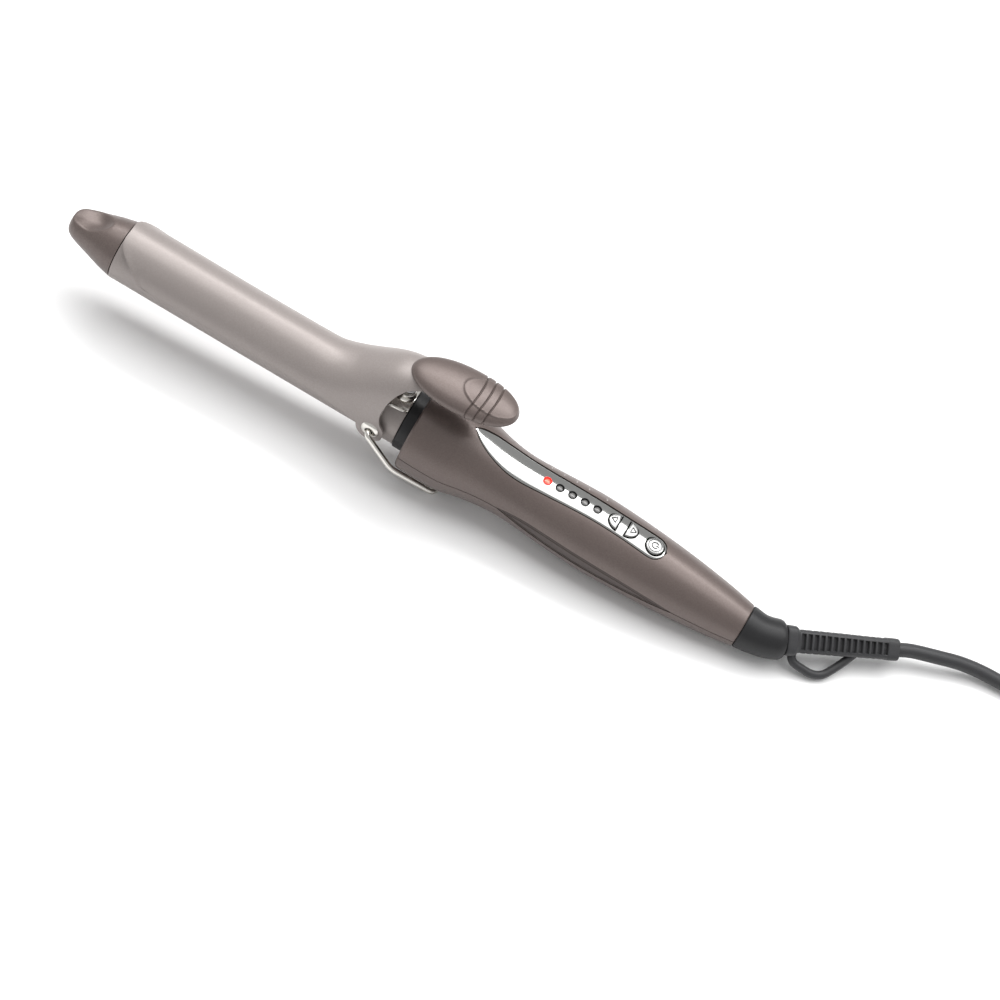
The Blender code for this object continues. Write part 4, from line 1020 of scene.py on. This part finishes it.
panel_rows = []
first, last = PANEL_HALF_WIDTH[0][0], PANEL_HALF_WIDTH[-1][0]
for x in steps(first, first + 4, 20)[:-1] + steps(first + 4, last - 4, 160)[:-1] + steps(last - 4, last, 30):
    half = panel_half(x)
    top, bottom = [], []
    for t in steps(-1.0, 1.0, 49):
        y = half * math.sin(t * math.pi / 2)
        from_edge = min(half - abs(y), (x - first) * 0.5 + 0.02, (last - x) + 0.02)
        rounding = 0.45 * (1.0 - math.sqrt(1.0 - (1.0 - min(from_edge / 0.7, 1.0)) ** 2))
        top.append((x, y, handle_top(x, y) + 0.05 - rounding))
        bottom.append((x, y, handle_top(x, y) - 1.5))
    panel_rows.append(top + bottom[::-1])
panel = as_object("plated_panel", skin(panel_rows, True, True))
LAMP_HOLE_R, KEY_GAP = 1.95, 0.5
lamp_hole = [(LAMP_HOLE_R * math.cos(a), LAMP_HOLE_R * math.sin(a)) for a in steps(0, math.tau, 49)[:-1]]
openings = [(lamp_hole, x) for x in LED_X]
openings += [(button_outline(name, KEY_GAP), x) for name, x in BUTTON_X.items()]
holes = [moved(prism(outline, -6.0, 4.0), (x, 0.0, handle_top(x))) for outline, x in openings]
cut(panel, holes)
finish_piece(panel, plating, "iron", ("control_panel",), sharp=35.0)
print("panel faces:", len(panel.data.polygons))

# %% The lamps in their holes
for number, x in enumerate(LED_X, 1):
    profile = [(-3.4, 0.0), (-3.4, 1.6), (-0.55, 1.6)]
    profile += [(-0.55 + 0.5 * math.sin(a), 1.6 * math.cos(a)) for a in steps(0.0, math.pi / 2, 12)]
    lens = as_object(f"lamp_{number}", turned(profile, "Z", 48), Matrix.Scale(MM, 4))
    lens.matrix_world = LAY_DOWN @ Matrix.Translation((Vector((x, 0.0, handle_top(x))) - HINGE) * MM)
    lit = number == 1
    finish_piece(lens, lens_lit if lit else lens_dark, "iron",
                 (f"led_lens_{number}",))
    ring_profile = [(-0.75, 1.62), (-0.75, 1.92), (0.02, 1.92), (0.12, 1.82), (0.1, 1.72), (-0.5, 1.62)]
    ring_drawing = moved(turned(ring_profile, "Z", 48, closed=True), (x, 0.0, handle_top(x)))
    ring = as_object(f"lamp_bezel_{number}", ring_drawing)
    # The first lamp's bezel takes the glowing red of the lit lens: a painted glow, since the bezel is no lamp.
    finish_piece(ring, lens_lit if lit else satin_black, "iron")
print("lamps:", len(LED_X))

# %% [markdown]
# ## The buttons
# Two D-shaped keys face away from each other, and a round key ends the row. They are plated like the panel,
# crowned on top, with their marks standing a little proud.

# %% Keys with rounded tops
def key_cap(name):
    """A key whose top edge is rounded over: rings of its outline drawn in as they rise."""
    rows = []
    for height, shrink in ((-1.9, 0.0), (0.1, 0.0), (0.3, 0.05), (0.45, 0.18), (0.55, 0.4), (0.6, 0.8)):
        rows.append([(x, y, height) for x, y in button_outline(name, -shrink)])
    inner = button_outline(name, -0.8)
    rows += [[(x * share, y * share, 0.6 + 0.08 * (1 - share)) for x, y in inner] for share in (0.7, 0.35)]
    return skin(rows, True, True)


def bar(points, half, low, high):
    """A thin raised line along points, as a closed strip."""
    line = [Vector((x, y)) for x, y in points]
    left, right_side = [], []
    for number, point in enumerate(line):
        before, after = line[max(number - 1, 0)], line[min(number + 1, len(line) - 1)]
        along_line = (after - before).normalized()
        normal = Vector((-along_line.y, along_line.x)) * half
        left.append(tuple(point + normal))
        right_side.append(tuple(point - normal))
    return prism(left + right_side[::-1], low, high)


def joined(drawings):
    """Several drawings as one."""
    whole = bmesh.new()
    for drawing in drawings:
        mesh = bpy.data.meshes.new("part")
        drawing.to_mesh(mesh)
        drawing.free()
        whole.from_mesh(mesh)
        bpy.data.meshes.remove(mesh)
    return whole


MARK_LOW, MARK_HIGH = 0.5, 0.8
body_of_key = {"button_down": "down_key", "button_up": "up_key", "button_power": "power_key"}
for name, x in BUTTON_X.items():
    at = (x, 0.0, handle_top(x))
    key = as_object(name.replace("button", "key"), moved(key_cap(name), at))
    finish_piece(key, button_plating, body_of_key[name], (name,))
    if name == "button_power":
        arc = [(1.35 * math.cos(a), 1.35 * math.sin(a)) for a in steps(0.6, math.tau - 0.6, 40)]
        circle = [(2.75 * math.cos(a), 2.75 * math.sin(a)) for a in steps(0.0, math.tau, 61)]
        strokes = [bar(arc, 0.22, MARK_LOW, MARK_HIGH),
                   bar([(0.4, 0.0), (1.6, 0.0)], 0.22, MARK_LOW, MARK_HIGH),
                   bar(circle, 0.18, MARK_LOW - 0.1, MARK_HIGH - 0.08)]
    else:
        side = -1 if name == "button_down" else 1
        corners = [(1.35 * side + 0.1, 0.0), (-0.75 * side + 0.1, 1.35), (-0.75 * side + 0.1, -1.35)]
        strokes = [bar([corners[n], corners[(n + 1) % 3]], 0.22, MARK_LOW, MARK_HIGH) for n in range(3)]
    mark = as_object(f"{name}_mark", moved(joined(strokes), at))
    finish_piece(mark, dark_line, body_of_key[name])
print("keys:", len(BUTTON_X))

# %% [markdown]
# ### Numbers beside the lamps
# Small pale numbers beyond the panel's far edge tell the heat of each lamp. Text is drawn flat, so it is
# tipped to lie on the handle's curve.

# %% Heat numbers
for number, x in enumerate(LED_X):
    text = bpy.data.curves.new("heat", "FONT")
    text.body = str(120 + 20 * number)
    text.size, text.extrude, text.align_x, text.align_y = 2.3 * MM, 0.02 * MM, "CENTER", "CENTER"
    flat = bpy.data.objects.new("heat", text)
    bpy.context.scene.collection.objects.link(flat)
    mesh = bpy.data.meshes.new_from_object(flat.evaluated_get(bpy.context.evaluated_depsgraph_get()))
    bpy.data.objects.remove(flat, do_unlink=True)
    y = panel_half(x) + 2.7
    tip = math.asin(y / handle_radius(x))
    mesh.transform(
        LAY_DOWN @ Matrix.Translation((Vector((x, y, handle_top(x, y) + 0.12)) - HINGE) * MM)
        @ Matrix.Rotation(-tip, 4, "X"))
    label = bpy.data.objects.new(f"heat_number_{number + 1}", mesh)
    bpy.context.scene.collection.objects.link(label)
    finish_piece(label, white_ink, "iron")
print("numbers: 120 to 200")

# %% [markdown]
# ## The tip
# The tip stays cool, so it can be held while winding hair. It is a cone with a slanted rest for a fingertip
# pressed into its top. The rest is a second surface that limits the cone's radius, and the two are joined
# with a soft minimum, so the rest has the rounded brim of a moulding.

# %% The cool tip
TIP_PROFILE = (
    (0.0, 0.0), (0.1, 2.6), (0.7, 4.4), (1.8, 5.6), (3.5, 6.6), (6.0, 7.5), (8.5, 8.3), (11.0, 9.0),
    (13.0, 9.6), (14.5, 10.1), (16.0, 10.5), (18.0, 11.1), (23.9, 12.45),
)
FINGER_REST = (
    (0.0, 3.6), (1.5, 4.1), (5.0, 5.0), (10.0, 5.8), (13.0, 6.9), (15.0, 8.6), (17.0, 11.0), (18.5, 14.0),
)
REST_BOW = 0.09


def soft_least(a, b, blend):
    """The smaller of two numbers, rounded where they are nearly equal."""
    share = min(max(0.5 + 0.5 * (b - a) / blend, 0.0), 1.0)
    return b + (a - b) * share - blend * share * (1.0 - share)


tip_rows = []
for x in [0.0, 0.02, 0.05, 0.1, 0.2, 0.35, 0.55, 0.8] + steps(1.1, 23.6, 110) + [23.8, 23.9]:
    radius = read_curve(TIP_PROFILE, x) - (0.12 if x > 23.85 else 0.0)
    row = []
    for angle in steps(0.0, math.tau, 129)[:-1]:
        rise = math.sin(angle)
        size = radius
        if rise > 0.05 and x < 18.5:
            bow = REST_BOW * (radius * math.cos(angle)) ** 2
            size = soft_least(radius, read_curve(FINGER_REST, x + bow) / rise, 0.55)
        row.append((x, size * math.cos(angle), size * rise))
    tip_rows.append(row)
for x, radius in ((23.9, 11.0), (29.9, 11.0), (29.9, 0.0)):
    tip_rows.append([(x, radius * math.cos(a), radius * math.sin(a)) for a in steps(0.0, math.tau, 129)[:-1]])
tip = as_object("cool_tip", skin(tip_rows, True))
finish_piece(tip, pearl, "iron", ("tip_cap",), sharp=50.0)
print("piece:", tip.name)

# %% [markdown]
# ## The barrel and its ring
# The barrel is a drawn tube, open at the handle's end, with a tiny radius at its front lip. A black ring of
# heat-proof nylon holds it in the handle.

# %% Barrel tube and ring
BARREL_R, BARREL_WALL = 12.5, 1.2
BARREL_START, BARREL_END = 24.2, 156.0
inner_r = BARREL_R - BARREL_WALL
tube_profile = [(BARREL_START, inner_r), (BARREL_START, BARREL_R - 0.3),
                (BARREL_START + 0.1, BARREL_R - 0.08),
                (BARREL_START + 0.3, BARREL_R)]
tube_profile += [(x, BARREL_R) for x in steps(BARREL_START + 4, BARREL_END - 4, 40)]
tube_profile += [(BARREL_END, BARREL_R), (BARREL_END, inner_r)]
tube = as_object("barrel", turned(tube_profile, sides=160, closed=True))
finish_piece(tube, coating, "iron", ("barrel_tube",))
ring_profile = [
    (150.0, 8.0), (150.0, 10.9), (156.3, 10.9), (156.3, 12.9), (156.6, 13.2), (160.9, 13.2), (161.05, 12.9),
    (163.6, 12.6), (163.6, 16.3), (166.5, 16.3), (166.5, 8.0),
]
collar = as_object("collar", turned(ring_profile, sides=128, closed=True))
finish_piece(collar, satin_black, "iron", ("collar_ring",))
print("pieces:", tube.name, collar.name)

# %% [markdown]
# ## The clip
# The clip is one pressing of thin metal. Along the barrel it is a half tube. Towards the hinge it climbs and
# widens into a saddle, sends an ear down each side for the rivet, and is cut away at the back in an arch. The
# pressing is a sheet drawn by two numbers, one along and one across, and its front and rear edges are curves
# across the sheet.

# %% The pressing's section and edges
CLIP_TOP = (
    (20.0, 13.5), (110.0, 13.5), (119.0, 14.0), (128.0, 17.4), (134.0, 21.6), (140.0, 26.4), (146.0, 30.2),
    (152.0, 32.2), (160.0, 33.2), (184.0, 35.6),
)
CLIP_HALF_WIDTH = ((20.0, 13.5), (115.0, 13.5), (136.0, 14.6), (152.0, 14.6), (156.0, 13.6), (184.0, 13.6))
CLIP_SQUARENESS = ((20.0, 2.0), (116.0, 2.0), (132.0, 2.6), (184.0, 2.6))
CLIP_SPAN, CLIP_METAL, EAR_R = (24.6, 160.0), 1.0, 6.2
CLIP_FRONT = (
    (0.0, 24.6), (0.3, 24.7), (0.45, 26.2), (0.6, 29.4), (0.75, 33.0), (0.88, 35.6), (0.96, 37.6), (1.0, 40.5),
)
CLIP_REAR = (
    (0.0, 160.0), (0.17, 159.6), (0.21, 157.5), (0.27, 153.0), (0.34, 150.0), (0.52, 147.8), (0.7, 148.3),
    (0.86, 151.4), (1.0, 151.8),
)


def clip_section(x):
    """The clip's cross-section at x, from the top down one side, as (y, z) points."""
    top, half = read_curve(CLIP_TOP, x), read_curve(CLIP_HALF_WIDTH, x)
    power = 2.0 / read_curve(CLIP_SQUARENESS, x)
    rise = half * math.sin(math.radians(8.0))
    reach = x - HINGE.x
    low = rise * (1.0 - ease(x, 124.0, HINGE.x - EAR_R * 0.7))
    if abs(reach) < EAR_R:
        low = min(low, HINGE.z - math.sqrt(EAR_R**2 - reach**2))
    points = []
    for angle in steps(0.0, math.pi / 2, 160):
        y, z = half * math.sin(angle) ** power, top * math.cos(angle) ** power
        if z < low:
            break
        points.append((y, z))
    return points + [(half, low)]


def section_line(points):
    """A function that gives the point at a share of a line's length."""
    reached = [0.0]
    for a, b in zip(points, points[1:]):
        reached.append(reached[-1] + math.dist(a, b))

    def at(share):
        target = share * reached[-1]
        for number in range(len(points) - 1):
            if target <= reached[number + 1]:
                break
        step = reached[number + 1] - reached[number]
        t = (target - reached[number]) / step if step else 0.0
        return tuple(p + (q - p) * t for p, q in zip(points[number], points[number + 1]))

    return at


print("section at the saddle:", len(clip_section(146.0)), "points")

# %% Press the clip
across = steps(0.0, 1.0, 41)
columns = [(share, -1) for share in reversed(across[1:])] + [(share, 1) for share in across]
stations = steps(0.0, 0.06, 10)[:-1] + steps(0.06, 0.64, 44)[:-1] + steps(0.64, 1.0, 76)
clip_rows = []
for station in stations:
    row = []
    base = CLIP_SPAN[0] + (CLIP_SPAN[1] - CLIP_SPAN[0]) * station
    front, rear = max(0.0, 1.0 - station / 0.3), max(0.0, (station - 0.7) / 0.3)
    for share, side in columns:
        x = base + (read_curve(CLIP_FRONT, share) - CLIP_SPAN[0]) * front
        x += (read_curve(CLIP_REAR, share) - CLIP_SPAN[1]) * rear
        y, z = section_line(clip_section(x))(share)
        lift = 1.0 + 0.02 * (1.0 - ease(station, 0.004, 0.035))
        row.append((x, side * y * lift, z * lift))
    clip_rows.append(row)
clip = as_object("clip_pressing", skin(clip_rows))
thicken(clip, CLIP_METAL)
soften(clip, 0.28, segments=2, angle=50.0)
rivet_holes = moved(turned([(-20.0, 0.0), (-20.0, 2.7), (20.0, 2.7), (20.0, 0.0)], "Y", 48), HINGE)
cut(clip, [rivet_holes], "EXACT")
finish_piece(clip, coating, "clip", ("clip_plate",), sharp=60.0)
print("clip faces:", len(clip.data.polygons))

# %% [markdown]
# ## The thumb lever
# The lever is a long rounded shell on the clip's tongue. Its thumb pad is a low oval step with a fine ridge
# round it, and three grooves run across for grip. The shape is an ellipse-like section swept along the lever,
# and the step, ridge and grooves move its skin in or out.

# %% Moulded lever
LEVER_MIDDLE, LEVER_HALF, LEVER_HEIGHT = 172.4, 23.2, 34.8
LEVER_WIDE, LEVER_UP, LEVER_DOWN = 11.0, 4.9, 4.7
LEVER_RISE = math.radians(4.8)
GROOVES = (178.6, 182.3, 186.0)
PAD_MIDDLE, PAD_LONG, PAD_WIDE = 183.2, 12.2, 7.4


def lever_point(u, angle):
    """A point of the lever's skin: u runs from -1 at the front to 1 at the rear."""
    plan = max(0.0, 1.0 - abs(u) ** (2.15 if u < 0 else 2.5)) ** 0.5
    depth = max(0.0, 1.0 - abs(u) ** (2.2 if u < 0 else 3.0)) ** 0.5
    c, s = math.cos(angle), math.sin(angle)
    y = LEVER_WIDE * plan * math.copysign(abs(c) ** 0.9, c)
    z = (LEVER_UP if s > 0 else LEVER_DOWN) * depth * math.copysign(abs(s) ** 0.9, s)
    x = LEVER_MIDDLE + LEVER_HALF * u
    bow = x + 0.012 * y * y
    raised = 0.0
    if s > -0.35:
        across_pad = math.hypot((x - PAD_MIDDLE) / PAD_LONG, y / PAD_WIDE)
        if s > 0:
            raised += 0.42 * (1.0 - ease(across_pad, 0.93, 1.0))
            raised += 0.16 * math.exp(-((across_pad - 0.95) / 0.035) ** 2)
        for groove in GROOVES:
            raised -= 0.62 * math.exp(-((bow - groove) / 0.30) ** 2) * ease(s, -0.35, -0.1)
    normal = Vector((0.0, c * 0.55, s)).normalized() * raised
    return x, y + normal.y, z + normal.z


us = steps(-1.0, -0.9, 18)[:-1] + steps(-0.9, 0.2, 60)[:-1]
us += steps(0.2, 0.62, 130)[:-1] + steps(0.62, 0.9, 30)[:-1]
us += [math.sin(a) for a in steps(math.asin(0.9), math.pi / 2, 22)]
lean = Matrix.Rotation(-LEVER_RISE, 4, "Y")
lever_rows = []
for u in us:
    row = []
    for angle in steps(0.0, math.tau, 145)[:-1]:
        x, y, z = lever_point(u, angle)
        x, y, z = lean @ Vector((x - LEVER_MIDDLE, y, z))
        row.append((x + LEVER_MIDDLE, y, z + LEVER_HEIGHT))
    lever_rows.append(row)
lever = as_object("lever_moulding", skin(lever_rows, True))
groove_rows = []
for x in steps(143.0, 161.0, 25):
    at = section_line(clip_section(min(x, 160.0)))
    half = [(y * 1.07, z + CLIP_METAL / 2 + 0.12) for y, z in (at(share) for share in steps(0.0, 0.62, 24))]
    top_line = [(x, side * y, z) for side, part in ((-1, half[::-1]), (1, half[1:])) for y, z in part]
    low = min(point[2] for point in top_line) - 6.0
    groove_rows.append([(x, top_line[0][1], low)] + top_line + [(x, top_line[-1][1], low)])
seat = skin(groove_rows, True, True)
cut(lever, [seat], "EXACT")
finish_piece(lever, pearl, "clip", ("thumb_lever",), sharp=45.0)
print("lever faces:", len(lever.data.polygons))

# %% The lever's screw
tongue = read_curve(CLIP_TOP, 174.0) - 5.4
profile = [(-1.3, 0.0), (-1.3, 1.9), (-1.05, 2.3), (0.0, 2.5), (0.0, 1.2), (3.0, 1.2), (3.0, 0.0)]
lever_screw = as_object("lever_fixing", moved(turned(profile, "Z", 40), (174.0, 0.0, tongue)))
cut(lever_screw, cross_recess(174.0, 0.0, tongue - 1.3, 1.3, 0.7), "EXACT")
finish_piece(lever_screw, steel, "clip", ("lever_screw",), sharp=30.0)
print("piece:", lever_screw.name)

# %% [markdown]
# ## The hinge
# A bright yoke is pressed round the barrel. Under the clip's rear arch it shows as a saddle with a folded lip
# and a round cup for the spring. Two rivets carry the clip's ears and the wire stand.

# %% The yoke
YOKE_R = 13.15
yoke_rows = []
for t in steps(0.0, 1.0, 26):
    row = []
    for angle in steps(math.radians(-24.0), math.radians(204.0), 115):
        saddle = ease(math.degrees(angle), 55.0, 59.0) * (1.0 - ease(math.degrees(angle), 121.0, 125.0))
        x = 141.0 + t * (6.4 + 8.6 * saddle)
        fold = 0.9 * math.exp(-((abs(math.degrees(angle) - 90.0) - 31.0) / 1.6) ** 2) * ease(x, 147.5, 149.0)
        row.append((x, (YOKE_R + fold) * math.cos(angle), (YOKE_R + fold) * math.sin(angle)))
    yoke_rows.append(row)
yoke = as_object("hinge_yoke", skin(yoke_rows))
thicken(yoke, 0.6)
soften(yoke, 0.15, segments=2, angle=50.0)
cut(yoke, [moved(turned([(-20.0, 0.0), (-20.0, 2.7), (20.0, 2.7), (20.0, 0.0)], "Y", 40), HINGE)], "EXACT")
finish_piece(yoke, nickel, "iron", ("clip_bracket",), sharp=50.0)
print("yoke faces:", len(yoke.data.polygons))

# %% The spring and its cup
cup = [(13.5, 2.2), (13.5, 4.3), (14.2, 4.2), (14.7, 3.7), (16.4, 3.6), (16.6, 3.4), (16.6, 2.4), (16.4, 2.2)]
spring_cup = as_object("spring_cup", moved(turned(cup, "Z", 64, closed=True), (151.6, 0.0, 0.0)))
finish_piece(spring_cup, nickel, "iron", ("spring_seat",))
SPRING_TURNS, SPRING_LOW, SPRING_R = 6, 17.0, 2.9
spring_high = read_curve(CLIP_TOP, 152.0) - CLIP_METAL / 2 - 0.8
coil = []
for number in range(SPRING_TURNS * 28 + 1):
    share = number / (SPRING_TURNS * 28)
    angle = math.tau * SPRING_TURNS * share
    height = SPRING_LOW + (spring_high - SPRING_LOW) * ease(share, -0.25, 1.25)
    coil.append((152.0 + SPRING_R * math.cos(angle), SPRING_R * math.sin(angle), height))
spring = round_wire(
    "return_spring", coil, 0.4, steel, "iron", ("clip_spring",), resolution=4, as_mesh=True)
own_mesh(spring)
print("spring turns:", SPRING_TURNS)

# %% Rivets
for name, side in (("pivot_rivet_left", -1), ("pivot_rivet_right", 1)):
    profile = [
        (12.9, 1.6), (12.9, 2.4), (14.75, 2.4), (14.8, 3.9), (15.0, 4.05), (15.25, 4.0), (15.7, 3.55),
        (16.05, 2.8),
        (16.2, 2.1), (16.1, 1.75), (15.7, 1.6),
    ]
    rivet = as_object(name.replace("pivot_", "") + "_turned", moved(
        turned([(side * y, radius) for y, radius in profile], "Y", 64, closed=True), HINGE))
    finish_piece(rivet, nickel, "iron", (name,))
print("rivets: 2")

# %% [markdown]
# ## The wire stand
# One nickel wire is hooked into both rivets and bent into a foot. Wire bends on a radius, never in a corner,
# so each corner of the route is rounded before the wire is drawn along it.

# %% Bend the wire
STAND_LEG = ((146.2, 13.4, 0.5), (146.2, 17.9, 0.5), (160.6, 17.9, -11.6), (179.8, 10.5, -22.1))


def rounded_route(corners, radius, count=10):
    """A line through corners, each rounded over a distance either side of it."""
    corners = [Vector(corner) for corner in corners]
    line = [corners[0]]
    for before, corner, after in zip(corners, corners[1:], corners[2:]):
        reach = min(radius, (before - corner).length * 0.45, (after - corner).length * 0.45)
        start = corner + (before - corner).normalized() * reach
        end = corner + (after - corner).normalized() * reach
        turn = steps(0.0, 1.0, count)
        line += [start * (1 - t) ** 2 + corner * 2 * t * (1 - t) + end * t * t for t in turn]
    return line + [corners[-1]]


near_leg = [(x, -y, z) for x, y, z in STAND_LEG]
stand = round_wire(
    "stand_foot", rounded_route([*near_leg, *STAND_LEG[::-1]], 3.2), 1.25, nickel, "stand",
    ("stand_wire",), resolution=8)
print("piece:", stand.name)

# %% [markdown]
# ## Hidden parts
# The heater, the board and the switches keep their plain shapes and take real finishes.

# %% Finishes for the hidden parts
HIDDEN = {
    "heater_block_upper": cast_aluminium, "heater_block_lower": cast_aluminium, "heater_element": ceramic,
    "thermistor": ceramic, "thermal_fuse": steel, "heater_lead_1": red_lead, "heater_lead_2": blue_lead,
    "sensor_lead": red_lead, "circuit_board": board_green, "key_switch_1": satin_black,
    "key_switch_2": satin_black, "key_switch_3": satin_black,
}
for name, look in HIDDEN.items():
    for place_in_list in range(len(nodes[name].material_slots)):
        nodes[name].material_slots[place_in_list].material = look
print("hidden parts finished:", len(HIDDEN))

# %% [markdown]
# ## Floor and light
# The set is a white table under one large soft light, above and a little behind, which drops a soft shadow
# towards the viewer. A narrow strip further back draws the long highlight, and a pale sky fills the rest.

# %% White table
floor_mesh = bpy.data.meshes.new("table")
reach = 6.0
corners = [(-reach, -reach, 0), (reach, -reach, 0), (reach, reach, 0), (-reach, reach, 0)]
floor_mesh.from_pydata(corners, [], [(0, 1, 2, 3)])
floor = bpy.data.objects.new("table", floor_mesh)
bpy.context.scene.collection.objects.link(floor)
table_look = bpy.data.materials.new("table_white")
table_look.use_nodes = True
table_shader = table_look.node_tree.nodes["Principled BSDF"]
table_shader.inputs["Base Color"].default_value = (0.93, 0.93, 0.93, 1.0)
table_shader.inputs["Roughness"].default_value = 0.6
floor_mesh.materials.append(table_look)
floor.location.z = -0.0004
print("table:", 2 * reach, "m wide")


# %% Soft lights
def softbox(name, at, target, size, power):
    light = bpy.data.lights.new(name, "AREA")
    light.shape, light.size, light.size_y, light.energy = "RECTANGLE", size[0], size[1], power
    item = bpy.data.objects.new(name, light)
    item.location = at
    item.rotation_euler = (Vector(target) - Vector(at)).to_track_quat("-Z", "Y").to_euler()
    bpy.context.scene.collection.objects.link(item)
    return item


softbox("overhead_light", (0.05, 0.28, 1.1), (0.05, 0.0, 0.02), (2.2, 0.95), 15.0)
softbox("highlight_strip", (0.0, 0.62, 1.0), (0.0, 0.0, 0.02), (2.0, 0.25), 9.0)
world = bpy.data.worlds.new("studio")
world.use_nodes = True
world.node_tree.nodes["Background"].inputs["Color"].default_value = (0.9, 0.9, 0.9, 1.0)
world.node_tree.nodes["Background"].inputs["Strength"].default_value = 0.64
bpy.context.scene.world = world
bpy.context.scene.view_settings.view_transform = "Standard"
print("lights: 2")
